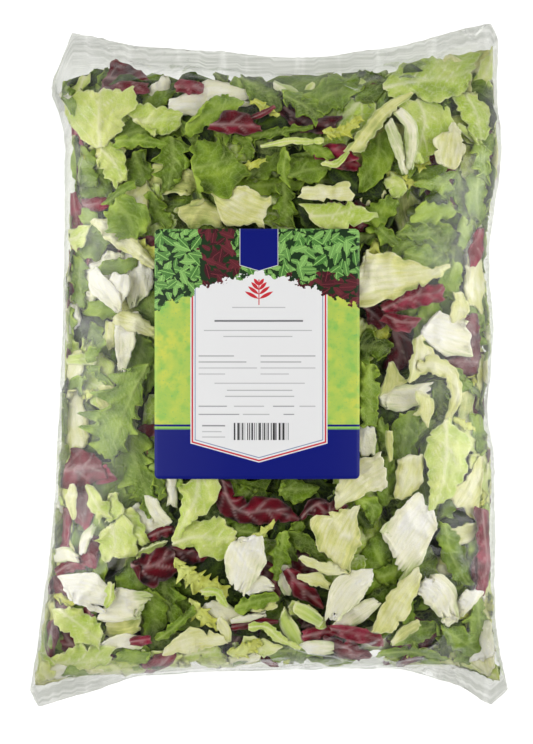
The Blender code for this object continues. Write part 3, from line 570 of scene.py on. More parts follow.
class Leaf:
    """One piece of leaf as a grid of points: v runs along its midrib and u across, from -1 to 1 on its left."""

    DEEPEST = 6.0                 # mm that its folds reach down from its highest places
    CLOSEST = (1.2 * MM, 0.5 * MM)   # how its inner side is pressed in at the outline

    def __init__(self, shape, stations, tone, rng, step):
        self.shape, self.rng, self.seed = shape, rng, rng.uniform(0, 100)
        line = along_midrib(stations, 60)
        self.length = np.hypot(*np.diff(line[:, :2], axis=0).T).sum()
        self.width = (line[:, 2] + line[:, 3]).max()
        rows = int(np.clip(self.length / step, 8, 52)) + 1
        columns = int(np.clip(self.width / step, 6, 34)) + 1
        self.line = along_midrib(stations, rows)
        ahead = np.gradient(self.line[:, :2], axis=0)
        self.ahead = ahead / np.linalg.norm(ahead, axis=1)[:, None]
        self.aside = np.stack([-self.ahead[:, 1], self.ahead[:, 0]], 1)
        self.v = np.linspace(0, 1, rows)[:, None] + np.zeros(columns)
        self.u = np.linspace(-1, 1, columns)[None, :] + np.zeros((rows, 1))
        self.s = self.v * self.length
        self.reach = np.maximum(np.where(self.u > 0, self.line[:, 2:3], self.line[:, 3:4]), 0.4)
        self.margin = smooth_step((np.abs(self.u) - 0.35) / 0.65)
        self.small = np.clip(self.width / 20, 0.3, 1)
        self.outline()
        self.veins()
        self.relief()
        if rng.uniform() < shape["fold"] and self.width > 9:
            self.fold_over()
        self.paint(tone)

    def noise(self, length, number, x=None, y=None):
        x, y = self.t if x is None else x, self.s if y is None else y
        return soft_noise(x / length, y / length, self.seed + number)

    def outline(self):
        """Where the points lie seen from above: cut ends, lobes, teeth, tears and a ragged margin."""
        k, side = self.shape, np.sign(self.u)
        height, length = k["rag"]
        reach = self.reach * (1 + k["swell"] * self.small * soft_noise(self.s / 11, side * 3, self.seed + 1))
        sway = 2.2 * soft_noise(self.s / 14, side * 5, self.seed + 2)
        share, spacing = k["lobes"]
        lobes = comb(self.s + sway + np.where(self.u > 0, 0.0, spacing * 0.37), spacing)
        cut = 1 - share * smooth_step(lobes) * self.margin
        count, depth = k["tears"]
        for _ in range(self.rng.poisson(count * self.length / 35) if count else 0):
            at, half = self.rng.uniform(0.1, 0.9) * self.length, self.rng.uniform(0.8, 1.8)
            notch = np.clip(1 - np.abs(self.s - at) / half, 0, 1) * (side == self.rng.choice((-1, 1)))
            cut = cut - notch * self.margin * np.minimum(depth / reach, 0.6)
        depth, spacing = k["teeth"]
        teeth = comb(self.s + 1.5 * sway, spacing) * depth * smooth_step(self.reach / 5)
        rag = height * soft_noise(self.s / length + 40, side * 9, self.seed + 3)
        rag = rag + 0.4 * height * soft_noise(self.s / 2.4, side * 9, self.seed + 4)
        self.t = self.u * reach * cut + side * self.margin * (rag - 0.6 * teeth) * smooth_step(self.reach / 4)
        # The two ends: slanted cuts with a ragged edge, and splits at the far one.
        far = self.v > 0.5
        near_end = smooth_step(1 - np.minimum(self.v, 1 - self.v) * self.length / 7)
        slant = np.where(far, *self.rng.uniform(-0.8, 0.8, 2)) * self.t
        rag = soft_noise(self.t / 5, far * 7.0, self.seed + 5) * (0.8 + 1.1 * height)
        rag = rag + 0.5 * height * soft_noise(self.t / 1.9, far * 7.0, self.seed + 6)
        push = (rag + slant) * near_end * np.where(far, 1, -1) * smooth_step(self.reach / 3)
        count, depth = k["splits"]
        for _ in range(count):
            at, half = self.rng.uniform(-0.8, 0.8), self.rng.uniform(0.05, 0.09)
            push = push - np.clip(1 - np.abs(self.u - at) / half, 0, 1) * near_end * far * depth * self.small
        push = push + 0.35 * share * np.abs(self.t) * self.margin
        self.place = self.line[:, None, :2] + self.aside[:, None] * self.t[..., None]
        self.place = self.place + self.ahead[:, None] * push[..., None]

    def veins(self):
        k = self.shape
        half = k["rib"][0] * self.small
        self.rib = np.exp(-((self.t / max(half, 0.1)) ** 2)) * (1.1 - 0.8 * self.v) * (half > 0)
        half, _ = k["vein"]
        if k["spacing"]:
            wander = 1.4 * self.noise(7, 13)
            phase = (self.s - np.abs(self.t) * 1.1 + wander) / k["spacing"] + np.where(self.t > 0, 0, 0.5)
            gap = np.abs(phase - np.round(phase)) * k["spacing"]
            fade = np.clip(1.1 - np.abs(self.t) / self.reach, 0, 1) * smooth_step((self.reach - 2) / 3)
            self.vein = np.exp(-((gap / half) ** 2)) * fade
            self.bulge = smooth_step(2 * gap / k["spacing"]) * smooth_step(np.abs(self.t) / 4)
        else:
            spread = self.u * k["fan"] / 2 * np.clip(self.reach / 9, 0.35, 1.2)
            phase = spread + 0.3 * soft_noise(self.s / 14, self.u * 2, self.seed + 14)
            gap = np.abs(phase - np.round(phase)) * 2 * self.reach / k["fan"]
            share = 0.35 + 0.65 * np.abs(soft_noise(np.round(phase) * 1.7, self.s / 40, self.seed + 15))
            self.vein = np.exp(-((gap / half) ** 2)) * share
            self.bulge = smooth_step(2 * np.abs(phase - np.round(phase)))

    def relief(self):
        """How far each point stands out along the leaf's own normal, in mm."""
        k, rng = self.shape, self.rng
        swirl = 7 * self.noise(18, 11)
        turn = rng.uniform(0, math.pi)
        along = self.t * math.cos(turn) + self.s * math.sin(turn)
        across = self.s * math.cos(turn) - self.t * math.sin(turn)
        height, length = k["crumple"]
        rise = height * ridged(along + swirl, 0.45 * across - swirl, length, self.seed + 7)
        rise = rise + 0.4 * height * ridged(across + swirl, along, 0.5 * length, self.seed + 8)
        height, length = k["dent"]
        rise = rise + height * self.noise(length, 9) + 0.35 * height * self.noise(0.4 * length, 10)
        height, length = k["blister"]
        rise = rise + height * self.noise(length, 17) * (1 - self.rib)
        rise = rise + k["quilt"] * self.bulge + k["rib"][1] * self.rib + k["vein"][1] * self.vein
        rise = rise * (0.35 + 0.65 * self.small)
        height, length = k["ruffle"]
        beat = 2 * math.pi * self.s / length + 3 * soft_noise(self.s / 15, np.sign(self.u), self.seed + 19)
        rise = rise + height * smooth_step(self.reach / 6) * self.margin * np.sin(beat + self.seed)
        half = max(self.width / 2, 1)
        rise = rise + k["cup"] * self.small * rng.uniform(-0.8, 1.0) * (self.t / half) ** 2
        rise = rise + k["arch"] * self.small * rng.uniform(-1.0, 0.8) * (2 * self.v - 1) ** 2
        rise = rise + k["curl"] * self.small * rng.uniform(-1.5, 1.0) * self.margin**2
        tilt = rng.uniform(-2.0, 2.0, 2) * self.small
        self.rise = rise + tilt[0] * self.t / half + tilt[1] * (self.v - 0.5)

    def fold_over(self):
        """Turns the part past a crease back over the rest."""
        turn = self.rng.uniform(0, 2 * math.pi)
        over = np.array([math.cos(turn), math.sin(turn)])
        far = (self.place - self.place.reshape(-1, 2).mean(0)) @ over
        crease, radius = far.max() * self.rng.uniform(0.45, 0.72), 1.2
        past = np.maximum(far - crease, 0)
        bent = np.minimum(past, math.pi * radius)
        back = crease + radius * np.sin(bent / radius) - (past - bent)
        self.place = self.place + np.where(past > 0, back - far, 0)[..., None] * over
        self.rise = self.rise + radius * (1 - np.cos(bent / radius)) + 0.3 * (past - bent)

    def paint(self, tone):
        """The tone from 0 to 1, with painted shade and highlight by the relief, and the masks of the veins and of the
        cut edge.
        """
        rng = self.rng
        light = tone + 0.14 * self.noise(11, 23) + 0.06 * self.noise(3, 24)
        along, aside = self.shape["shade"]
        light = light + along * rng.uniform(0, 2) * (self.v - 0.5) + aside * rng.uniform(0, 1.6) * self.margin
        # Painted shade and highlight: places that rise above the rest of the leaf are made paler, places that sink
        # darker.
        light = light + 0.1 * np.clip((self.rise - self.rise.mean()) / (self.rise.std() + 0.1), -2, 2)
        end = smooth_step(1 - np.minimum(self.v, 1 - self.v) * self.length / 1.2)
        edge = np.maximum(end, smooth_step((np.abs(self.u) - 0.93) / 0.07))
        veins = np.clip(np.maximum(self.rib, self.vein), 0, 1)
        self.look = np.stack([light, veins, edge, np.full_like(light, rng.uniform())], -1)
        self.grain = np.stack([self.t, self.s, np.full_like(light, self.seed)], -1)

    def settle(self, depth, pile, under, pressed):
        """The leaf's outer and inner sides, this many mm from the upper sheet, or from the lower one."""
        sunk = np.percentile(self.rise, 96) - self.rise
        sunk = np.where(sunk > 0, self.DEEPEST * (1 - np.exp(-sunk / self.DEEPEST)), 0.3 * sunk) + 0.6
        place = room.draw_in(self.place * MM, *pressed)
        top, bottom = room.heights(place)
        middle = (top + bottom) / 2
        high = np.maximum(top - FILM_GAP * MM, middle + 0.3 * MM)
        low = np.minimum(bottom + FILM_GAP * MM, middle - 0.3 * MM)
        room_left = high - low
        down = room_left * (1 - np.exp(-(depth + np.maximum(sunk, 0)) * MM / room_left))
        down = np.minimum(pile.drape(place, down), room_left)
        pile.lay(place, down + self.thickness(room_left))
        outer = np.concatenate([place, (low + down if under else high - down)[..., None]], 2)
        thick, look, grain = self.thickness(room_left), self.look, self.grain
        if under:
            outer, thick, look, grain = (a[:, ::-1] for a in (outer, thick, look, grain))
        normal = np.cross(np.gradient(outer, axis=0), np.gradient(outer, axis=1))
        normal /= np.linalg.norm(normal, axis=2)[..., None] + 1e-12
        return outer, self.confine(outer - normal * thick[..., None]), look, grain

    def confine(self, points):
        """The points, with what would stick out of the film moved back inside it."""
        place = room.draw_in(points[..., :2], *self.CLOSEST)
        top, bottom = room.heights(place)
        middle, gap = (top + bottom) / 2, FILM_GAP * MM
        height = np.clip(points[..., 2], np.minimum(bottom + gap, middle), np.maximum(top - gap, middle))
        return np.concatenate([place, height[..., None]], -1)

    def thickness(self, room_left):
        k = self.shape
        section = np.sqrt(np.clip(1 - np.abs(self.u) ** 2.4, 0, 1)) * np.clip(self.reach / 6, 0.4, 1)
        ends = np.sqrt(np.clip(np.minimum(self.v, 1 - self.v) * self.length / 4, 0, 1))
        thick = k["blade"] + (k["core"] - k["blade"]) * section * (0.5 + 0.5 * ends)
        return np.minimum((thick + 0.8 * k["rib"][1] * self.rib) * MM, 0.6 * room_left)


class Leaves:
    """The mesh of all the leaves of one kind, joined as it grows."""

    def __init__(self, kind):
        self.kind, self.shape = kind, KINDS[kind]
        self.points, self.faces, self.looks, self.grains, self.cells = [], [], [], [], []
        self.size = 0

    def add(self, stations, depth, tone, rng, pile, coarse=1.0, under=False, pressed=(2.6 * MM, 0.3 * MM)):
        """One leaf. Its stations and depth are in mm, coarse widens its mesh, and under puts it by the lower sheet."""
        leaf = Leaf(self.shape, stations, tone, rng, self.shape["step"] * coarse)
        upper, lower, look, grain = leaf.settle(depth, pile, under, pressed)
        points, faces = closed_sheet(upper, lower)
        self.points.append(points)
        self.faces.append(faces + self.size)
        self.size += len(points)
        for store, values in ((self.looks, look), (self.grains, grain)):
            flat = values.reshape(-1, values.shape[-1])
            store += [flat, flat]
        # Its square of the baking map: the upper side, the lower side, and the walls squeezed between them.
        across, along = (grain[..., i] - grain[..., i].min() for i in (0, 1))
        across, along = across / max(across.max(), 0.01), along / max(along.max(), 0.01)
        front = np.stack([0.02 + 0.62 * across, 0.02 + 0.96 * along], -1).reshape(-1, 2)
        back = np.stack([0.68 + 0.30 * across, 0.02 + 0.96 * along], -1).reshape(-1, 2)
        spots = np.concatenate([front, back])[faces]
        walls = len(faces) - 2 * (look.shape[0] - 1) * (look.shape[1] - 1)
        spots[-walls:] = front[faces[-walls:, [0, 1, 1, 0]]]
        spots[-walls:, 2:] += 0.004
        self.cells.append(spots.reshape(-1, 2))

    def finish(self, material, slot):
        """The joined mesh as one object, with a square of the baking map for each leaf."""
        mesh = new_mesh(self.kind, np.concatenate(self.points), np.concatenate(self.faces))
        look = mesh.attributes.new("leaf_look", "FLOAT_COLOR", "POINT")
        look.data.foreach_set("color", np.concatenate(self.looks).astype(np.float32).ravel())
        grain = mesh.attributes.new("leaf_place", "FLOAT_VECTOR", "POINT")
        grain.data.foreach_set("vector", np.concatenate(self.grains).astype(np.float32).ravel())
        side = math.ceil(math.sqrt(len(self.cells)))
        spots = [(uv + (i % side, i // side)) / side for i, uv in enumerate(self.cells)]
        layer = mesh.uv_layers.new(name="OFBake")
        layer.data.foreach_set("uv", np.concatenate(spots).astype(np.float32).ravel())
        return add_piece(self.kind, mesh, material)


def add_piece(name, mesh, material, replaces=()):
    piece = bpy.data.objects.new(name, mesh)
    bpy.context.scene.collection.objects.link(piece)
    mesh.materials.clear()
    mesh.materials.append(material)
    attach(piece, "root")
    if replaces:
        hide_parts(*replaces)
    return piece


# Materials


def srgb(red, green, blue):
    """A colour given as it is named on paper, from 0 to 255, as Blender's linear numbers."""
    shares = [c / 255 for c in (red, green, blue)]
    return tuple(c / 12.92 if c <= 0.04045 else ((c + 0.055) / 1.055) ** 2.4 for c in shares)


class Nodes:
    """Adds nodes to one tree. An input is given as a number, a colour or another node's output."""

    def __init__(self, tree):
        self.tree = tree
        tree.nodes.clear()

    def add(self, kind, values=None, **settings):
        node = self.tree.nodes.new(kind)
        for name, value in settings.items():
            setattr(node, name, value)
        for key, value in (values or {}).items():
            socket = node.inputs[key]
            if isinstance(value, bpy.types.NodeSocket):
                self.tree.links.new(value, socket)
            elif hasattr(value, "__len__") and socket.type == "RGBA":
                socket.default_value = (*value[:3], 1)
            else:
                socket.default_value = value
        return node

    def math(self, operation, first, second=0.0, third=0.0, clamp=False):
        values = {0: first, 1: second, 2: third}
        return self.add("ShaderNodeMath", values, operation=operation, use_clamp=clamp).outputs[0]

    def mix(self, factor, first, second, way="MIX"):
        values = {0: factor, 6: first, 7: second}
        return self.add("ShaderNodeMix", values, data_type="RGBA", blend_type=way).outputs[2]

    def step(self, value, low, high, start=0.0, end=1.0, smooth=True):
        kind = "SMOOTHSTEP" if smooth else "LINEAR"
        values = {"Value": value, "From Min": low, "From Max": high, "To Min": start, "To Max": end}
        return self.add("ShaderNodeMapRange", values, interpolation_type=kind).outputs[0]

    def noise(self, place, scale, detail=2.0, roughness=0.5, distortion=0.0):
        values = {
            "Vector": place, "Scale": scale, "Detail": detail, "Roughness": roughness, "Distortion": distortion,
        }
        return self.add("ShaderNodeTexNoise", values).outputs["Fac"]

    def bump(self, height, distance, strength=1.0):
        values = {"Height": height, "Distance": distance, "Strength": strength}
        return self.add("ShaderNodeBump", values).outputs["Normal"]


def new_group(name, inputs, outputs):
    """A node group with named sockets: its nodes, its input's outputs and a function that links its outputs."""
    tree = bpy.data.node_groups.new(name, "ShaderNodeTree")
    nodes = Nodes(tree)
    for label, kind, value in inputs:
        socket = tree.interface.new_socket(label, in_out="INPUT", socket_type=kind)
        socket.default_value = (*value, 1) if kind == "NodeSocketColor" else value
    for label, kind in outputs:
        tree.interface.new_socket(label, in_out="OUTPUT", socket_type=kind)
    given, result = nodes.add("NodeGroupInput"), nodes.add("NodeGroupOutput")

    def put_out(**values):
        for label, value in values.items():
            tree.links.new(value, result.inputs[label])

    return tree, nodes, given.outputs, put_out


def new_material(name):
    material = bpy.data.materials.new(name)
    material.use_nodes = True
    nodes = Nodes(material.node_tree)
    return material, nodes, nodes.add("ShaderNodeOutputMaterial")


def place_group(nodes, tree, values):
    group = nodes.add("ShaderNodeGroup")
    group.node_tree = tree
    for name, value in values.items():
        group.inputs[name].default_value = (*value[:3], 1) if hasattr(value, "__len__") else value
    return group.outputs


def leaf_skin():
    """The colour, gloss and grain of any leaf, from its tone, which holds painted shade as well as its own colour, and
    its veins and cut edge.
    """
    tree = bpy.data.node_groups.get("Leaf skin")
    if tree:
        return tree
    colour, value = "NodeSocketColor", "NodeSocketFloat"
    tree, nodes, given, put_out = new_group(
        "Leaf skin",
        (
            ("Dark", colour, (0.04, 0.07, 0.01)), ("Middle", colour, (0.2, 0.3, 0.05)),
            ("Pale", colour, (0.5, 0.6, 0.2)), ("Vein", colour, (0.6, 0.65, 0.4)),
            ("Edge", colour, (0.4, 0.5, 0.2)), ("Vein share", value, 0.6), ("Net share", value, 0.3),
            ("Mottle", value, 0.3), ("Streak", value, 0.2), ("Edge share", value, 0.4),
        ),
        (("Colour", colour), ("Roughness", value), ("Height", value)),
    )
    look = nodes.add("ShaderNodeAttribute", attribute_name="leaf_look")
    place = nodes.add("ShaderNodeAttribute", attribute_name="leaf_place").outputs["Vector"]
    parts = nodes.add("ShaderNodeSeparateColor", {"Color": look.outputs["Color"]}).outputs
    tone, vein, edge = parts[0], parts[1], parts[2]
    patches = nodes.math("SUBTRACT", nodes.noise(place, 0.11, 4, 0.55), 0.5)
    stretch = nodes.add("ShaderNodeVectorMath", {0: place, 1: (1.0, 0.12, 1.0)}, operation="MULTIPLY").outputs[0]
    streaks = nodes.math("SUBTRACT", nodes.noise(stretch, 0.7, 3, 0.6), 0.5)
    tone = nodes.math("MULTIPLY_ADD", patches, given["Mottle"], tone)
    tone = nodes.math("MULTIPLY_ADD", streaks, given["Streak"], tone)
    skin = nodes.mix(nodes.step(tone, 0.0, 0.5, smooth=False), given["Dark"], given["Middle"])
    skin = nodes.mix(nodes.step(tone, 0.5, 1.0, smooth=False), skin, given["Pale"])
    cells = nodes.add(
        "ShaderNodeTexVoronoi", {"Vector": place, "Scale": 0.42, "Randomness": 0.9}, feature="DISTANCE_TO_EDGE"
    ).outputs["Distance"]
    net = nodes.step(cells, 0.0, 0.09, 1.0, 0.0)
    skin = nodes.mix(nodes.math("MULTIPLY", net, given["Net share"]), skin, given["Vein"])
    skin = nodes.mix(nodes.math("MULTIPLY", vein, given["Vein share"]), skin, given["Vein"])
    skin = nodes.mix(nodes.math("MULTIPLY", edge, given["Edge share"]), skin, given["Edge"])
    grain = nodes.noise(place, 1.3, 3, 0.6)
    height = nodes.math("MULTIPLY_ADD", net, -0.35, nodes.math("MULTIPLY", grain, 0.35))
    pleat = nodes.add("ShaderNodeVectorMath", {0: place, 1: (1.0, 0.35, 1.0)}, operation="MULTIPLY").outputs[0]
    height = nodes.math("MULTIPLY_ADD", nodes.noise(pleat, 0.2, 3, 0.5, 0.8), 4.0, height)
    height = nodes.math("MULTIPLY_ADD", vein, 0.9, height)
    rough = nodes.step(nodes.noise(place, 0.25, 3), 0.3, 0.7, 0.34, 0.52)
    put_out(Colour=skin, Roughness=rough, Height=height)
    return tree


def leaf_material(name, colours, shares, grain=0.4, gloss=0.4):
    """One kind of leaf. colours: dark, middle, pale, vein and edge. shares: of the veins, net, mottle, streaks, edge."""
    material, nodes, output = new_material(name)
    values = dict(zip(("Dark", "Middle", "Pale", "Vein", "Edge"), colours))
    values.update(zip(("Vein share", "Net share", "Mottle", "Streak", "Edge share"), shares))
    skin = place_group(nodes, leaf_skin(), values)
    surface = nodes.add(
        "ShaderNodeBsdfPrincipled",
        {
            "Base Color": skin["Colour"], "Roughness": skin["Roughness"], "Specular IOR Level": gloss,
            "Normal": nodes.bump(skin["Height"], grain * MM, 0.7),
            "Subsurface Weight": 0.2, "Subsurface Radius": (1.0, 1.0, 0.35), "Subsurface Scale": 1 * MM,
        },
    )
    nodes.tree.links.new(surface.outputs[0], output.inputs["Surface"])
    return material


def film_material(name, colours):
    """Clear film: mostly seen through, greyer and finely ribbed at the seals, glossier where it turns away."""
    material, nodes, output = new_material(name)
    place = nodes.add("ShaderNodeTexCoord").outputs["Object"]
    ripple = nodes.add("ShaderNodeVectorMath", {0: place, 1: (1.0, 1.6, 1.0)}, operation="MULTIPLY").outputs[0]
    seal = nodes.add("ShaderNodeAttribute", attribute_name="film_place").outputs["Vector"]
    along, from_end, closed = nodes.add("ShaderNodeSeparateXYZ", {0: seal}).outputs
    # At the seals: fine ribs along the bag's end, and creases that cross them.
    lines = nodes.add("ShaderNodeCombineXYZ", {0: nodes.math("MULTIPLY", along, 0.03), 1: from_end}).outputs[0]
    ribs = nodes.noise(lines, 640, 2, 0.6)
    folds = nodes.noise(nodes.add("ShaderNodeVectorMath", {0: seal, 1: (1.0, 0.2, 0.0)}, operation="MULTIPLY").outputs[0], 90, 3)
    broad = nodes.noise(ripple, 24, 3, 0.5, 0.8)
    crinkle = nodes.noise(ripple, 140, 3, 0.55, 1.0)
    height = nodes.math("MULTIPLY_ADD", crinkle, 0.05, broad)
    height = nodes.math("MULTIPLY_ADD", nodes.math("MULTIPLY", ribs, closed), 0.08, height)
    normal = nodes.bump(height, 1.2 * MM, 0.45)
    # Long creases, here and there, that run two ways.
    near_end = nodes.step(from_end, 14 * MM, 40 * MM, 1.0, 0.35)
    here = nodes.math("MULTIPLY", nodes.step(nodes.noise(place, 14, 1), 0.45, 0.6), near_end)
    for turn in (0.5, -0.7):
        turned = nodes.add("ShaderNodeVectorRotate", {"Vector": place, "Angle": turn}, rotation_type="Z_AXIS").outputs[0]
        long = nodes.add("ShaderNodeVectorMath", {0: turned, 1: (1.0, 0.22, 1.0)}, operation="MULTIPLY").outputs[0]
        from_line = nodes.math("ABSOLUTE", nodes.math("SUBTRACT", nodes.noise(long, 40, 1, 0.5, 0.4), 0.5))
        crest = nodes.math("MULTIPLY", nodes.step(from_line, 0.0, 0.08, 1.0, 0.0), here)
        creased = nodes.add("ShaderNodeBump", {"Height": crest, "Distance": 1.2 * MM, "Normal": normal})
        normal = creased.outputs[0]
    facing = nodes.add("ShaderNodeFresnel", {"IOR": 1.55, "Normal": normal}).outputs[0]
    tilted = nodes.math("MULTIPLY", nodes.math("SUBTRACT", facing, 0.042), 0.9)
    # A faint mist inside it, towards the bag's sides.
    sideways = nodes.math("ABSOLUTE", nodes.add("ShaderNodeSeparateXYZ", {0: place}).outputs[0])
    mist = nodes.math("MULTIPLY", nodes.step(sideways, 65 * MM, 105 * MM), nodes.step(broad, 0.3, 0.65, 0.3, 1.0))
    share = nodes.math("MULTIPLY_ADD", mist, 0.07, nodes.math("MAXIMUM", tilted, 0.0))
    share = nodes.math("MINIMUM", share, 0.4)
    # What only lights the leaves or the floor goes straight through.
    path = nodes.add("ShaderNodeLightPath").outputs
    passing = nodes.math("MAXIMUM", path["Is Shadow Ray"], path["Is Diffuse Ray"])
    share = nodes.math("MULTIPLY", share, nodes.math("SUBTRACT", 1.0, passing))
    grey = nodes.mix(nodes.step(ribs, 0.35, 0.65, 0.0, 0.4), colours.seal_tint, colours.film_tint)
    grey = nodes.mix(nodes.step(folds, 0.5, 0.75, 0.0, 0.4), grey, colours.film_tint)
    tint = nodes.mix(closed, colours.film_tint, grey)
    clear = nodes.add("ShaderNodeBsdfTransparent", {"Color": tint})
    sheen = nodes.add("ShaderNodeBsdfGlossy", {"Color": (1, 1, 1), "Roughness": 0.24, "Normal": normal})
    both = nodes.add("ShaderNodeMixShader", {0: share, 1: clear.outputs[0], 2: sheen.outputs[0]})
    nodes.tree.links.new(both.outputs[0], output.inputs["Surface"])
    return material


# Settings


class SaladSizes(bpy.types.PropertyGroup):
    filler_spacing: FloatProperty(
        name="Filler spacing", description="Distance between the leaves that fill the heap",
        default=25 * MM, min=15 * MM, max=60 * MM, unit="LENGTH",
    )
    filler_seed: IntProperty(name="Filler seed", description="Changes where the filling leaves fall", default=11)
    wrinkle: FloatProperty(
        name="Wrinkle height", description="How far the film's creases stand out",
        default=0.7 * MM, min=0, max=2 * MM, unit="LENGTH",
    )
    label_thickness: FloatProperty(
        name="Label thickness", description="Thickness of the paper label",
        default=0.25 * MM, min=0.1 * MM, max=0.4 * MM, unit="LENGTH",
    )
    camera_height: FloatProperty(
        name="Camera height", description="Camera's distance above the bag's middle",
        default=2.5, min=1, max=6, unit="LENGTH",
    )


def colour(name, description, *value):
    return FloatVectorProperty(
        name=name, description=description, subtype="COLOR", size=3, min=0, max=1, default=srgb(*value)
    )


class SaladColours(bpy.types.PropertyGroup):
    green_dark: colour("Green, dark", "Darkest green leaf", 24, 38, 8)
    green_middle: colour("Green, middle", "Common green leaf", 112, 142, 26)
    green_pale: colour("Green, pale", "Palest green leaf", 180, 204, 76)
    green_vein: colour("Green vein", "Veins of the green leaves", 192, 210, 120)
    light_pale: colour("Yellow-green", "Inner leaves in yellow-green", 222, 229, 138)
    cream_dark: colour("Cream, dark", "Shaded cream leaf", 150, 166, 74)
    cream_middle: colour("Cream, middle", "Cream leaf", 226, 224, 146)
    cream_pale: colour("Cream, pale", "Palest cream leaf", 247, 243, 212)
    cream_vein: colour("Cream vein", "Veins of the cream leaves", 202, 210, 132)
    white_vein: colour("White vein", "Lines along the white ribs", 212, 216, 176)
    white_dark: colour("White, dark", "Greenish rib", 176, 194, 106)
    white_pale: colour("White, pale", "White rib", 252, 249, 239)
    yellow: colour("Yellow", "Yellow frills", 206, 208, 78)
    red_dark: colour("Red, dark", "Darkest red leaf", 30, 0, 4)
    red_middle: colour("Red, middle", "Red leaf", 112, 4, 26)
    red_pale: colour("Red, pale", "Faded red leaf", 172, 34, 72)
    red_vein: colour("Red leaf's vein", "White veins of the red leaves", 226, 204, 200)
    film_tint: colour("Film tint", "What is seen through one sheet of film", 252, 252, 251)
    seal_tint: colour("Seal tint", "What is seen through one sheet of film at a seal", 218, 219, 215)
    label_blue: colour("Label blue", "The label's band and pennant", 4, 18, 120)
    label_green: colour("Label green", "The label's field", 176, 206, 92)
    label_red: colour("Label red", "The panel's outline and motif", 206, 44, 56)


def settings():
    scene = bpy.context.scene
    return scene.salad_sizes, scene.salad_colours


# Pieces


def leaf_materials():
    """For each kind of leaf, its material and the record's slot for it."""
    c = settings()[1]
    greens = (c.green_dark, c.green_middle, c.green_pale, c.green_vein, c.green_pale)
    darks = (c.green_dark, c.green_dark, c.green_middle, c.green_middle, c.green_middle)
    lights = (c.green_middle, c.green_pale, c.light_pale, c.cream_pale, c.cream_pale)
    yellows = (c.green_middle, c.yellow, c.light_pale, c.light_pale, c.light_pale)
    creams = (c.cream_dark, c.cream_middle, c.cream_pale, c.cream_vein, c.cream_pale)
    whites = (c.white_dark, c.cream_pale, c.white_pale, c.white_vein, c.white_pale)
    reds = (c.red_dark, c.red_middle, c.red_pale, c.red_vein, c.red_vein)
    made = {
        "green_leaves": (greens, (0.5, 0.2, 0.5, 0.1, 0.3), 0.25, "green_leaf"),
        "dark_leaves": (darks, (0.4, 0.2, 0.5, 0.1, 0.3), 0.25, "green_leaf"),
        "frilly_leaves": (greens, (0.5, 0.2, 0.5, 0.1, 0.3), 0.25, "green_leaf"),
        "light_leaves": (lights, (0.6, 0.2, 0.5, 0.2, 0.3), 0.25, "green_leaf"),
        "yellow_frills": (yellows, (0.6, 0.2, 0.6, 0.1, 0.3), 0.25, "green_leaf"),
        "pale_leaves": (creams, (0.55, 0.1, 0.8, 0.9, 0.3), 0.25, "pale_leaf"),
        "white_ribs": (whites, (0.4, 0.0, 0.5, 0.9, 0.2), 0.25, "pale_leaf"),
        "red_leaves": (reds, (0.38, 0.0, 0.6, 0.3, 0.1), 0.15, "red_leaf"),
        "stems": (lights, (0.5, 0.0, 0.3, 0.6, 0.5), 0.4, "green_leaf"),
    }
    return {
        kind: (leaf_material(kind + "_skin", colours, shares, gloss=gloss), slot)
        for kind, (colours, shares, gloss, slot) in made.items()
    }


# The leaves that fill the heap: how often each kind comes, its usual length and width in mm, and its tones.
FILLERS = (
    ("green_leaves", 0.18, (42, 25), (0.25, 0.70)),
    ("dark_leaves", 0.18, (46, 27), (0.20, 0.80)),
    ("frilly_leaves", 0.15, (44, 24), (0.20, 0.60)),
    ("light_leaves", 0.18, (42, 26), (0.35, 0.80)),
    ("pale_leaves", 0.11, (38, 20), (0.30, 0.85)),
    ("white_ribs", 0.06, (36, 16), (0.50, 0.90)),
    ("red_leaves", 0.10, (36, 18), (0.10, 0.60)),
    ("yellow_frills", 0.03, (30, 16), (0.40, 0.80)),
)
# Their layers: whether they lie by the lower sheet, their depth in mm, how coarse their mesh is, and how far
# the layer is shifted, in spacings.
FILLER_LAYERS = (
    (False, 7, 1.5, 0.0),
    (False, 15, 2.1, 0.5),
    (False, 24, 2.8, 0.0),
    (True, 1, 1.6, 0.0),
    (True, 7, 2.1, 0.5),
    (True, 15, 2.8, 0.0),
)
HEAP_ENDS = (-3, 9)                  # mm between the heap and the bag's two ends
HEAP_EDGE = (5 * MM, 0.5 * MM)       # how the filling leaves are pressed in at the outline
HEAP_CORNER = (10 * MM, 5 * MM)      # and at its upper left, where the film stands off from them


def pressed_at(spot):
    return HEAP_CORNER if spot[0] < -80 and spot[1] > 80 else HEAP_EDGE


def filler_stations(spot, length, width, turn, bend, rng):
    ahead = np.array([math.cos(turn), math.sin(turn)])
    aside = np.array([-ahead[1], ahead[0]])
    rows = []
    for part, wide in ((0.0, 0.35), (0.35, 1.0), (0.7, 0.85), (1.0, 0.25)):
        at = spot + ahead * (part - 0.5) * length + aside * bend * length * (1 - (2 * part - 1) ** 2)
        rows.append((*at, width / 2 * wide, width / 2 * wide * rng.uniform(0.8, 1.2)))
    return rows


# The leaves along the sides: how far inside the outline they lie, how far from the ends, and their spacing.
LINING = (5.5 * MM, 24 * MM, 12 * MM)


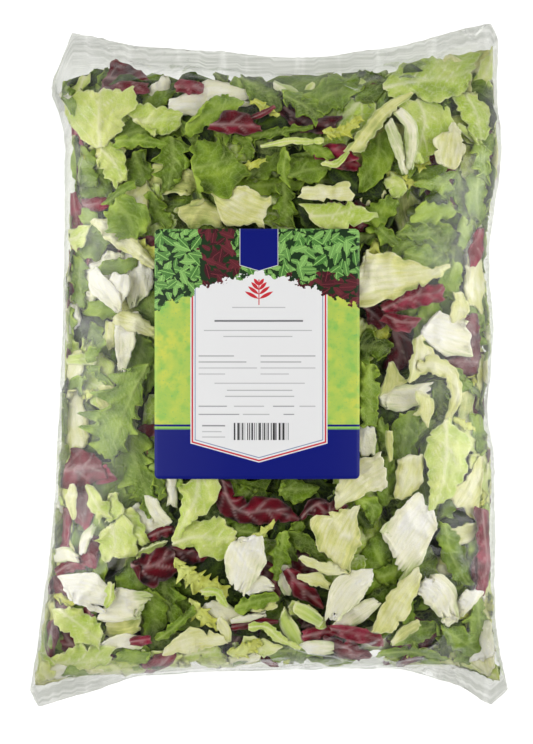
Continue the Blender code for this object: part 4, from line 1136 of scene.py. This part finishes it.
def line(leaves, piles, rng):
    """Lays leaves along the outline, against the film's sides, by both sheets: of every kind but the dark one, and
    paler, as painted light.
    """
    inside, from_end, spacing = LINING
    chances = np.array([share for _, share, _, _ in FILLERS])
    spots = []
    for row, column in zip(*np.nonzero(np.abs(room.edge[0] - inside) < room.STEP)):
        spot = np.array([room.xs[column], room.ys[row]])
        near = any(np.hypot(*(spot - other)) < spacing for other in spots)
        if near or room.from_end(spot) < from_end * (1 if spot[1] > 0 else 0.3):
            continue
        spots.append(spot)
        along = math.atan2(room.edge[2, row, column], room.edge[1, row, column]) + math.pi / 2
        for under in (False, True):
            kind, _, _, tones = FILLERS[rng.choice(len(FILLERS), p=chances / chances.sum())]
            # Painted light: no dark leaves along the sides, and their tones are raised below, for the light that comes
            # in from the sides and shines through them.
            kind = "light_leaves" if kind == "dark_leaves" else kind
            turn, bend = along + rng.uniform(-0.6, 0.6), rng.uniform(-0.2, 0.2)
            length, width = rng.uniform(20, 34), rng.uniform(11, 18)
            stations = filler_stations(spot / MM, length, width, turn, bend, rng)
            depth, tone = rng.uniform(2, 9), rng.uniform(*tones) + 0.2
            leaves[kind].add(stations, depth, tone, rng, piles[under], 1.5, under, pressed_at(spot / MM))


def fill(leaves, piles, rng):
    """Strews leaves of every kind through the heap, in layers, on a shaken triangular grid, with painted shade in the
    deeper layers and towards the middle.
    """
    spacing = settings()[0].filler_spacing / MM
    low, high = (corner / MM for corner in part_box(BAG))
    chances = np.array([share for _, share, _, _ in FILLERS])
    for under, depth, coarse, shift in FILLER_LAYERS:
        for row, y in enumerate(np.arange(low.y, high.y, spacing * 0.87)):
            start = low.x + spacing * ((row % 2) / 2 + shift / 2)
            for x in np.arange(start, high.x, spacing):
                spot = np.array([x, y]) + rng.uniform(-0.3, 0.3, 2) * spacing
                kind, _, (length, width), tones = FILLERS[rng.choice(len(FILLERS), p=chances / chances.sum())]
                # Painted shade: in the upper layers near the label, pale kinds are swapped for dark leaves, so the
                # gaps there look shaded.
                if not under and abs(spot[0]) < 50 and kind in ("pale_leaves", "white_ribs"):
                    kind = "dark_leaves"   # the gaps by the label are dark
                length, width = length * rng.uniform(0.7, 1.3), width * rng.uniform(0.7, 1.3)
                inside = room.read(room.edge, spot * MM)[0] / MM
                fit = min(1, 2 * (max(inside, 0) + 5) / max(length, width))
                length, width = length * fit, width * fit
                turn, bend = rng.uniform(0, 2 * math.pi), rng.uniform(-0.25, 0.25)
                # Painted shade: leaves deeper than 10 mm are darker, and those of the upper layers darker towards the
                # bag's middle, as the light comes in from the sides.
                tone, extra = rng.uniform(*tones) * (0.4 if depth > 10 else 1), rng.uniform(0, 4)
                tone = tone * (1 if under else 0.3 + 0.7 * min(abs(spot[0]) / 90, 1))
                reach = length / 2 * abs(math.sin(turn)) + width / 2 * abs(math.cos(turn))
                first, last = (np.interp(spot[0] * MM, room.xs, end) / MM for end in room.ends)
                corner = 16 * smooth_step((-spot[0] - 85) / 30)   # the heap is rounder there than the bag
                spot[1] = np.clip(spot[1], first + HEAP_ENDS[0] + reach, last - HEAP_ENDS[1] - corner - reach)
                top, bottom = room.heights(spot * MM)
                if top - bottom < (2 * depth + 6) * MM * (1 if depth > 2 else 0.6) or fit < 0.4:
                    continue
                stations = filler_stations(spot, length, width, turn, bend, rng)
                leaves[kind].add(
                    stations, depth + extra, tone, rng, piles[under], coarse, under, pressed_at(spot)
                )


class SALAD_OT_leaves(bpy.types.Operator):
    """Make the loose leaves, one piece for each kind"""

    bl_idname = "salad.leaves"
    bl_label = "Leaves"

    SPREAD = 0.11    # how much wider each lower layer's leaves go on under the leaves above them
    COARSER = 0.08   # and how much coarser their meshes are

    def execute(self, context):
        rng = np.random.default_rng(settings()[0].filler_seed)
        leaves = {kind: Leaves(kind) for kind in KINDS}
        piles = {under: Pile() for under in (False, True)}
        shown = [(layer, kind, tone, stations) for kind in SHOWN for layer, tone, *stations in SHOWN[kind]]
        for layer, kind, tone, stations in sorted(shown, key=lambda leaf: leaf[0]):
            wide = 1 + self.SPREAD * layer
            stations = [(x, y, left * wide, right * wide) for x, y, left, right in stations]
            leaves[kind].add(stations, layer * LAYER, tone, rng, piles[False], 1 + self.COARSER * layer)
        line(leaves, piles, rng)
        fill(leaves, piles, rng)
        materials = leaf_materials()
        for kind, made in leaves.items():
            material, slot = materials[kind]
            made.finish(material, slot)
        return {"FINISHED"}


class SALAD_OT_core(bpy.types.Operator):
    """Make the packed middle of the heap, darkened to a quarter as painted shade, which only shows through gaps"""

    bl_idname = "salad.core"
    bl_label = "Core"

    SHARE = (0.62, 0.68, 0.34)

    def execute(self, context):
        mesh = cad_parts[BAG].data.copy()
        mesh.name = "core"
        shell = bmesh.new()
        shell.from_mesh(mesh)
        bmesh.ops.remove_doubles(shell, verts=shell.verts, dist=0.02 * MM)
        low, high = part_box(BAG)
        middle = (low + high) / 2
        for vertex in shell.verts:
            point = vertex.co
            bump = float(soft_noise(point.x / MM / 17, point.y / MM / 17, point.z)) * 2.5 * MM
            vertex.co = middle + Vector(((point - middle)[i] * self.SHARE[i] for i in range(3)))
            vertex.co.z += bump
        shell.to_mesh(mesh)
        shell.free()
        mesh.shade_smooth()
        material, nodes, output = new_material("packed_leaves_in_painted_shade")
        place = nodes.add("ShaderNodeTexCoord").outputs["Object"]
        patches = nodes.step(nodes.noise(place, 60, 4), 0.35, 0.65)
        c = settings()[1]
        skin = nodes.mix(patches, c.green_dark, c.green_middle)
        # Painted shade: the packed leaves' colour is cut to a quarter, for the shade deep inside the heap.
        shade = nodes.mix(1.0, skin, (0.25, 0.25, 0.25), "MULTIPLY")
        surface = nodes.add("ShaderNodeBsdfPrincipled", {"Base Color": shade, "Roughness": 0.6})
        nodes.tree.links.new(surface.outputs[0], output.inputs["Surface"])
        add_piece("core", mesh, material)
        return {"FINISHED"}


class SALAD_OT_film(bpy.types.Operator):
    """Make the clear film round the leaves, with its seals and creases"""

    bl_idname = "salad.film"
    bl_label = "Film"

    CLOSED = 34 * MM       # the room between the sheets where their greyness has faded
    LIP = 14 * MM          # how near the ends the outline stays sharp

    def execute(self, context):
        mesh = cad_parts[BAG].data.copy()
        mesh.name = "film"
        shell = bmesh.new()
        shell.from_mesh(mesh)
        bmesh.ops.remove_doubles(shell, verts=shell.verts, dist=0.02 * MM)
        bmesh.ops.join_triangles(
            shell, faces=shell.faces, cmp_seam=False, cmp_sharp=False, cmp_uvs=False, cmp_vcols=False,
            cmp_materials=False, angle_face_threshold=0.7, angle_shape_threshold=1.2,
        )
        self.sharpen(shell)
        shell.to_mesh(mesh)
        shell.free()
        mesh.shade_smooth()
        film = add_piece("film", mesh, film_material("clear_film", settings()[1]), [BAG])
        smooth = film.modifiers.new("Smooth", "SUBSURF")
        smooth.levels = smooth.render_levels = 2
        film.data = bpy.data.meshes.new_from_object(film.evaluated_get(bpy.context.evaluated_depsgraph_get()))
        film.modifiers.clear()
        film.data.name = "film"
        self.crumple(film.data)
        return {"FINISHED"}

    def sharpen(self, shell):
        """Keeps the seals' outline and its corners from being rounded off."""
        edge_mark = shell.edges.layers.float.new("crease_edge")
        corner_mark = shell.verts.layers.float.new("crease_vert")
        shell.normal_update()
        for edge in shell.edges:
            if edge.calc_face_angle(0) > 0.6:
                ends = np.array([vertex.co[:2] for vertex in edge.verts])
                edge[edge_mark] = float(room.from_end(ends).max() < self.LIP)
        for vertex in shell.verts:
            ways = [(e.other_vert(vertex).co - vertex.co).normalized() for e in vertex.link_edges if e[edge_mark]]
            straight = any(a.dot(b) < -0.8 for a in ways for b in ways)
            vertex[corner_mark] = float(len(ways) > 1 and not straight)

    def crumple(self, mesh):
        """Small folds all over, pleats across the ends, none under the label, and where the seals are."""
        count = len(mesh.vertices)
        points, normals = np.empty(count * 3, np.float32), np.empty(count * 3, np.float32)
        mesh.vertices.foreach_get("co", points)
        mesh.vertices.foreach_get("normal", normals)
        points, normals = points.reshape(-1, 3).astype(float), normals.reshape(-1, 3)
        x, y = points[:, 0] / MM, points[:, 1] / MM
        from_end = room.from_end(points[:, :2])
        upper, lower = room.heights(points[:, :2])
        closed = smooth_step(1 - (upper - lower) / self.CLOSED)
        away = np.max(np.abs(points[:, :2] - LABEL_CENTRE) / MM - np.array(LABEL_SIZE) / 2, axis=1)
        free = smooth_step(away / 40) * smooth_step((points[:, 2] / MM - 3) / 6)
        swirl = 6 * soft_noise(x / 30, y / 30, 3)
        folds = 0.8 * ridged(x + swirl, 0.5 * y - swirl, 26, 5) + 0.5 * ridged(0.6 * x, y + swirl, 17, 6)
        pleats = soft_noise(x / 5 + swirl / 4, from_end / MM / 40, 8) * smooth_step(1 - from_end / MM / 45)
        flat = soft_noise(x / 30, from_end / MM / 3.2, 9) * closed
        height = settings()[0].wrinkle * (folds + 0.6 * pleats + 0.5 * flat) * free
        points += normals * height[:, None]
        mesh.vertices.foreach_set("co", points.astype(np.float32).ravel())
        place = np.stack([points[:, 0], from_end, closed], -1)
        mesh.attributes.new("film_place", "FLOAT_VECTOR", "POINT").data.foreach_set("vector", place.astype(np.float32).ravel())
        mesh.update()


class Print:
    """The label's print as fields of colour, painted over one another. Places are in mm from its middle."""

    SOFT = 0.12   # mm over which a printed edge fades

    def __init__(self, nodes, centre):
        self.nodes = nodes
        place = nodes.add("ShaderNodeTexCoord").outputs["Object"]
        shifted = nodes.add("ShaderNodeVectorMath", {0: place, 1: (*centre, 0)}, operation="SUBTRACT").outputs[0]
        flat = nodes.add(
            "ShaderNodeVectorMath", {0: shifted, 1: (1 / MM, 1 / MM, 0)}, operation="MULTIPLY"
        ).outputs[0]
        self.place = flat
        self.x, self.y, _ = nodes.add("ShaderNodeSeparateXYZ", {0: flat}).outputs
        self.colour = (1, 1, 1)

    def paint(self, mask, colour):
        self.colour = self.nodes.mix(mask, self.colour, colour)

    def above(self, value, limit):
        return self.nodes.step(value, limit - self.SOFT, limit + self.SOFT, smooth=False)

    def between(self, value, low, high):
        return self.nodes.math("MULTIPLY", self.above(value, low), self.nodes.math("SUBTRACT", 1.0, self.above(value, high)))

    def block(self, left, right, low, high):
        return self.nodes.math("MULTIPLY", self.between(self.x, left, right), self.between(self.y, low, high))

    def leafage(self, spread, start):
        """Small printed leaves that lie every way: where they are and how light each place on them is."""
        nodes = self.nodes
        place = nodes.add("ShaderNodeVectorMath", {0: self.place, 1: (start, start, 0)}, operation="ADD").outputs[0]
        cell = nodes.add("ShaderNodeTexVoronoi", {"Vector": place, "Scale": spread, "Randomness": 0.8}).outputs
        chance = nodes.add("ShaderNodeSeparateColor", {"Color": cell["Color"]}).outputs
        from_middle = nodes.add("ShaderNodeVectorMath", {0: place, 1: cell["Position"]}, operation="SUBTRACT").outputs[0]
        turned = nodes.add(
            "ShaderNodeVectorRotate", {"Vector": from_middle, "Angle": nodes.math("MULTIPLY", chance[0], 6.28)},
            rotation_type="Z_AXIS",
        ).outputs[0]
        along, across, _ = nodes.add("ShaderNodeSeparateXYZ", {0: turned}).outputs
        along = nodes.math("MULTIPLY", along, spread * 1.5)
        across = nodes.math("ABSOLUTE", nodes.math("MULTIPLY", across, spread * 3.2))
        shape = nodes.math("MULTIPLY_ADD", along, along, across)
        teeth = nodes.math("MULTIPLY", nodes.noise(place, 0.9, 2), 0.7)
        mask = nodes.step(nodes.math("ADD", shape, teeth), 1.0, 1.1, 1.0, 0.0)
        rib = nodes.step(across, 0.03, 0.12, 1.0, 0.0)
        side = nodes.math("SINE", nodes.math("MULTIPLY", nodes.math("SUBTRACT", along, across), 22.0))
        shade = nodes.math("MULTIPLY_ADD", side, 0.14, nodes.step(chance[1], 0.0, 1.0, 0.15, 0.65))
        return mask, nodes.math("MAXIMUM", shade, rib, clamp=True)

    def pointed(self, middle, half, floor, point):
        """How far inside a shield with straight sides and a point below each place is, in mm."""
        across = self.nodes.math("ABSOLUTE", self.nodes.math("SUBTRACT", self.x, middle))
        slope = (floor - point) / half
        lean = math.hypot(1, slope)
        rise = self.nodes.math("MULTIPLY_ADD", across, -slope, self.nodes.math("SUBTRACT", self.y, point))
        return self.nodes.math(
            "MINIMUM", self.nodes.math("SUBTRACT", half, across), self.nodes.math("DIVIDE", rise, lean)
        )


LABEL_CENTRE = (-7.1 * MM, 6.8 * MM)
LABEL_SIZE = (116.0, 141.5)   # mm
PANEL = (1.1, 38.7, -50.6, -61.4)     # the white panel: its middle, half width, shoulders and point, in mm
PENNANT = (1.1, 10.6, 50.2, 47.0)     # the pennant: the same
# Ruled lines like a form's, instead of wording: height, left and right end, thickness and darkness.
RULES = (
    (26.2, -14, 16, 0.5, 0.45), (18.6, -24, 26, 1.0, 0.85), (13.2, -30, 31, 0.45, 0.5), (9.8, -19, 20, 0.45, 0.5),
    (-1.2, -33, -13, 0.5, 0.7), (-4.6, -33, -6, 0.5, 0.7), (-8.0, -33, 0, 0.45, 0.5), (-11.4, -33, -18, 0.45, 0.5),
    (-1.2, 2, 33, 0.5, 0.7), (-4.6, 2, 25, 0.5, 0.7), (-8.0, 2, 33, 0.45, 0.5), (-11.4, 2, 18, 0.45, 0.5),
    (-16.6, -24, 27, 0.45, 0.5), (-20.6, -17, 20, 0.45, 0.6), (-24.0, -18, 21, 0.45, 0.6),
    (-29.6, -33, -17, 0.5, 0.75), (-29.6, -13, 4, 0.5, 0.5), (-29.6, 9, 21, 0.5, 0.75), (-29.6, 24, 33, 0.5, 0.5),
    (-34.2, -33, -10, 0.5, 0.75), (-34.2, -8, 7, 0.5, 0.5), (-34.2, 15, 21, 0.5, 0.75),
    (-40.6, -31, -18, 0.8, 0.7), (-44.0, -31, -20, 0.45, 0.5), (-47.0, -31, -18, 0.45, 0.5),
)


def printed_paper():
    material, nodes, output = new_material("printed_paper")
    c = settings()[1]
    ink = Print(nodes, LABEL_CENTRE)
    x, y = ink.x, ink.y
    # The green field, with specks of a deeper green.
    clouds = nodes.noise(ink.place, 0.045, 3, 0.6)
    ink.colour = nodes.mix(nodes.step(clouds, 0.42, 0.66), c.label_green, srgb(208, 216, 88))
    ink.paint(nodes.math("MULTIPLY", nodes.step(nodes.noise(ink.place, 0.16, 3), 0.45, 0.7), 0.6), srgb(122, 194, 92))
    specks = nodes.math("MULTIPLY", nodes.step(nodes.noise(ink.place, 0.9, 2), 0.63, 0.68), 0.5)
    ink.paint(specks, srgb(70, 178, 120))
    # The band across the foot, with its two thin lines.
    low = -LABEL_SIZE[1]
    ink.paint(ink.between(y, low, -42.8), c.label_blue)
    ink.paint(ink.between(y, -42.8, -42.2), srgb(90, 140, 90))
    ink.paint(ink.between(y, -42.2, -41.1), srgb(150, 206, 96))
    ink.paint(ink.between(y, -41.1, -39.9), c.label_blue)
    # The white panel with its red and grey-blue outlines.
    inside = ink.pointed(*PANEL)
    ink.paint(ink.above(inside, 0.0), srgb(240, 240, 240))
    ink.paint(ink.between(inside, 0.6, 1.5), c.label_red)
    ink.paint(ink.between(inside, 2.4, 2.9), srgb(128, 142, 176))
    # A spray of leaves across the top, in two layers over the dark between them: greens and two plum patches.
    leaf = srgb(26, 52, 24)
    drift = nodes.noise(ink.place, 0.09, 2)
    purple = nodes.math(
        "MAXIMUM", ink.between(nodes.math("MULTIPLY_ADD", drift, 24, x), -20, 0),
        nodes.math("MULTIPLY", ink.above(nodes.math("MULTIPLY_ADD", drift, 24, x), 30),
                   nodes.math("SUBTRACT", 1.0, ink.above(nodes.math("MULTIPLY_ADD", drift, -20, y), 34))),
    )
    for spread, start in ((0.16, 0.0), (0.10, 37.0), (0.12, 71.0)):
        mask, shade = ink.leafage(spread, start)
        green = nodes.mix(shade, srgb(44, 104, 36), srgb(166, 216, 120))
        leaf = nodes.mix(mask, leaf, nodes.mix(purple, green, nodes.mix(shade, srgb(44, 10, 20), srgb(126, 52, 60))))
    bow = nodes.math("POWER", nodes.math("ABSOLUTE", nodes.math("DIVIDE", nodes.math("SUBTRACT", x, 1.0), 58.0)), 1.3)
    ragged = nodes.math("MULTIPLY_ADD", nodes.noise(ink.place, 0.17, 3, 0.6), 16.0, nodes.math("MULTIPLY", bow, -20.0))
    ink.paint(ink.above(nodes.math("SUBTRACT", y, ragged), 38.0), leaf)
    # The bare pennant.
    flag = ink.pointed(*PENNANT)
    ink.paint(ink.above(flag, -0.3), srgb(236, 236, 238))
    ink.paint(ink.above(flag, 0.0), c.label_blue)
    # A plain sprig: a stalk with pairs of pointed leaves.
    for side in (-1, 1):
        for step in range(4):
            lean = math.radians(90 - side * (62 - 9 * step))
            root = (1.1, 31.0 + 2.5 * step)
            size = (4.6 - 0.7 * step, 1.05)
            dx, dy = nodes.math("SUBTRACT", x, root[0]), nodes.math("SUBTRACT", y, root[1])
            out = nodes.math("MULTIPLY_ADD", dx, math.cos(lean), nodes.math("MULTIPLY", dy, math.sin(lean)))
            off = nodes.math("MULTIPLY_ADD", dx, -math.sin(lean), nodes.math("MULTIPLY", dy, math.cos(lean)))
            reach = nodes.math("DIVIDE", nodes.math("SUBTRACT", out, size[0]), size[0])
            spread = nodes.math("DIVIDE", off, size[1])
            round_ = nodes.math("ADD", nodes.math("MULTIPLY", reach, reach), nodes.math("ABSOLUTE", spread))
            ink.paint(nodes.step(round_, 0.85, 1.0, 1.0, 0.0, smooth=False), c.label_red)
    ink.paint(ink.block(0.8, 1.4, 27.6, 42.0), c.label_red)
    # The form's ruled lines, and bars of uneven width.
    for height, left, right, thick, dark in RULES:
        mask = ink.block(left, right, height - thick / 2, height + thick / 2)
        ink.paint(nodes.math("MULTIPLY", mask, dark), srgb(60, 60, 66))
    bars = nodes.noise(nodes.add("ShaderNodeCombineXYZ", {0: nodes.math("MULTIPLY", x, 0.9)}).outputs[0], 1.0, 1, 0.5)
    bars = nodes.math("MULTIPLY", nodes.step(bars, 0.49, 0.51), ink.block(-13.1, 17.9, -48.7, -39.0))
    ink.paint(bars, srgb(52, 52, 54))
    grain = nodes.noise(ink.place, 1.2, 2)
    surface = nodes.add(
        "ShaderNodeBsdfPrincipled",
        {
            "Base Color": nodes.mix(1.0, ink.colour, (0.97, 0.97, 0.97), "MULTIPLY"),
            "Roughness": nodes.step(grain, 0.3, 0.7, 0.38, 0.46), "Specular IOR Level": 0.2,
            "Normal": nodes.bump(grain, 0.02 * MM, 0.4),
        },
    )
    nodes.tree.links.new(surface.outputs[0], output.inputs["Surface"])
    return material


class SALAD_OT_label(bpy.types.Operator):
    """Make the printed paper label on top of the film"""

    bl_idname = "salad.label"
    bl_label = "Label"

    CORNER = 2.5              # mm
    LIFT = 0.4 * MM           # from the film to the paper
    CELLS = (58, 70)

    def execute(self, context):
        thick = settings()[0].label_thickness
        half = np.array(LABEL_SIZE) / 2
        inner = half - self.CORNER
        a, b = (np.linspace(-1, 1, count + 1) * h for count, h in zip(self.CELLS, half))
        x, y = np.meshgrid(a, b, indexing="ij")
        # The outermost lines are bent round the corners.
        past_x = np.clip((np.abs(x) - inner[0]) / self.CORNER, 0, 1)
        past_y = np.clip((np.abs(y) - inner[1]) / self.CORNER, 0, 1)
        x = np.where(past_x > 0, np.sign(x) * (inner[0] + self.CORNER * past_x * np.sqrt(1 - past_y**2 / 2)), x)
        y = np.where(past_y > 0, np.sign(y) * (inner[1] + self.CORNER * past_y * np.sqrt(1 - past_x**2 / 2)), y)
        place = np.stack([x, y], -1) * MM + LABEL_CENTRE
        low = room.heights(place)[0] + self.LIFT
        lower = np.concatenate([place, low[..., None]], -1)
        upper = lower + (0, 0, thick)
        mesh = new_mesh("label_sheet", *closed_sheet(upper, lower))
        add_piece("label_sheet", mesh, printed_paper(), [LABEL])
        return {"FINISHED"}


class SALAD_OT_stage(bpy.types.Operator):
    """Set the floor, the lights and the camera"""

    bl_idname = "salad.stage"
    bl_label = "Stage"

    # Each light: its name, where it stands, its width and height in m, and its power in W.
    LIGHTS = (
        ("left_light", (-1.6, 0.0, 1.15), (1.5, 3.0), 37),
        ("right_light", (1.6, 0.0, 1.1), (1.5, 3.0), 35),
        ("top_light", (0.0, 1.8, 1.3), (2.4, 1.2), 4),
        ("front_light", (0.0, -1.8, 1.3), (2.4, 1.2), 2),
    )
    # The room's own light: from the height, as a sine, where it is bright to where it is dim, and its strengths.
    SKY = (0.1, 0.55, 0.9, 0.03)
    VIEW = (-1.73 * MM, -3.46 * MM, 0.03)   # the middle of the picture
    VIEW_HEIGHT = 0.4293                    # m that the picture's long side takes in there
    SENSOR = 36.0

    def execute(self, context):
        scene = context.scene
        bpy.ops.mesh.primitive_plane_add(size=12, location=(0, 0, 0))
        floor = context.object
        floor.name = "floor"
        material, nodes, output = new_material("studio_floor")
        surface = nodes.add(
            "ShaderNodeBsdfPrincipled",
            {"Base Color": (0.45, 0.45, 0.45), "Roughness": 0.9, "Emission Color": (1, 1, 1),
             "Emission Strength": 0.8, "Specular IOR Level": 0.1},
        )
        nodes.tree.links.new(surface.outputs[0], output.inputs["Surface"])
        floor.data.materials.append(material)
        aim = Vector((0, 0, 0.03))
        for name, place, size, power in self.LIGHTS:
            lamp = bpy.data.lights.new(name, "AREA")
            lamp.shape = "RECTANGLE"
            lamp.size, lamp.size_y = size
            lamp.energy = power
            holder = bpy.data.objects.new(name, lamp)
            holder.location = place
            holder.rotation_euler = (aim - Vector(place)).to_track_quat("-Z", "Y").to_euler()
            scene.collection.objects.link(holder)
        world = bpy.data.worlds.new("studio")
        world.use_nodes = True
        air = Nodes(world.node_tree)
        way = air.add("ShaderNodeTexCoord").outputs["Generated"]
        up = air.add("ShaderNodeSeparateXYZ", {0: way}).outputs[2]
        strength = air.step(up, *self.SKY)
        sky = air.add("ShaderNodeBackground", {"Color": (1, 1, 1), "Strength": strength})
        result = air.add("ShaderNodeOutputWorld")
        world.node_tree.links.new(sky.outputs[0], result.inputs["Surface"])
        scene.world = world
        scene.view_settings.view_transform = "Standard"
        lens = bpy.data.cameras.new("camera")
        distance = settings()[0].camera_height
        lens.sensor_width = self.SENSOR
        lens.lens = self.SENSOR * distance / self.VIEW_HEIGHT
        camera = bpy.data.objects.new("camera", lens)
        camera.location = Vector(self.VIEW) + Vector((0, 0, distance))
        scene.collection.objects.link(camera)
        scene.camera = camera
        return {"FINISHED"}


class SALAD_PT_build(bpy.types.Panel):
    """The bag's pieces and settings"""

    bl_idname = "SALAD_PT_build"
    bl_label = "Salad bag"
    bl_space_type = "VIEW_3D"
    bl_region_type = "UI"
    bl_category = "Salad"

    def draw(self, context):
        for operator in OPERATORS:
            self.layout.operator(operator.bl_idname)
        for group in settings():
            box = self.layout.box()
            for name in group.__annotations__:
                box.prop(group, name)


OPERATORS = (SALAD_OT_stage, SALAD_OT_leaves, SALAD_OT_core, SALAD_OT_film, SALAD_OT_label)
CLASSES = (SaladSizes, SaladColours, *OPERATORS, SALAD_PT_build)


def register():
    for part in CLASSES:
        bpy.utils.register_class(part)
    bpy.types.Scene.salad_sizes = PointerProperty(type=SaladSizes)
    bpy.types.Scene.salad_colours = PointerProperty(type=SaladColours)


def unregister():
    del bpy.types.Scene.salad_colours
    del bpy.types.Scene.salad_sizes
    for part in reversed(CLASSES):
        bpy.utils.unregister_class(part)


def main():
    register()
    for operator in OPERATORS:
        group, name = operator.bl_idname.split(".")
        getattr(getattr(bpy.ops, group), name)()


if __name__ == "__main__":
    main()
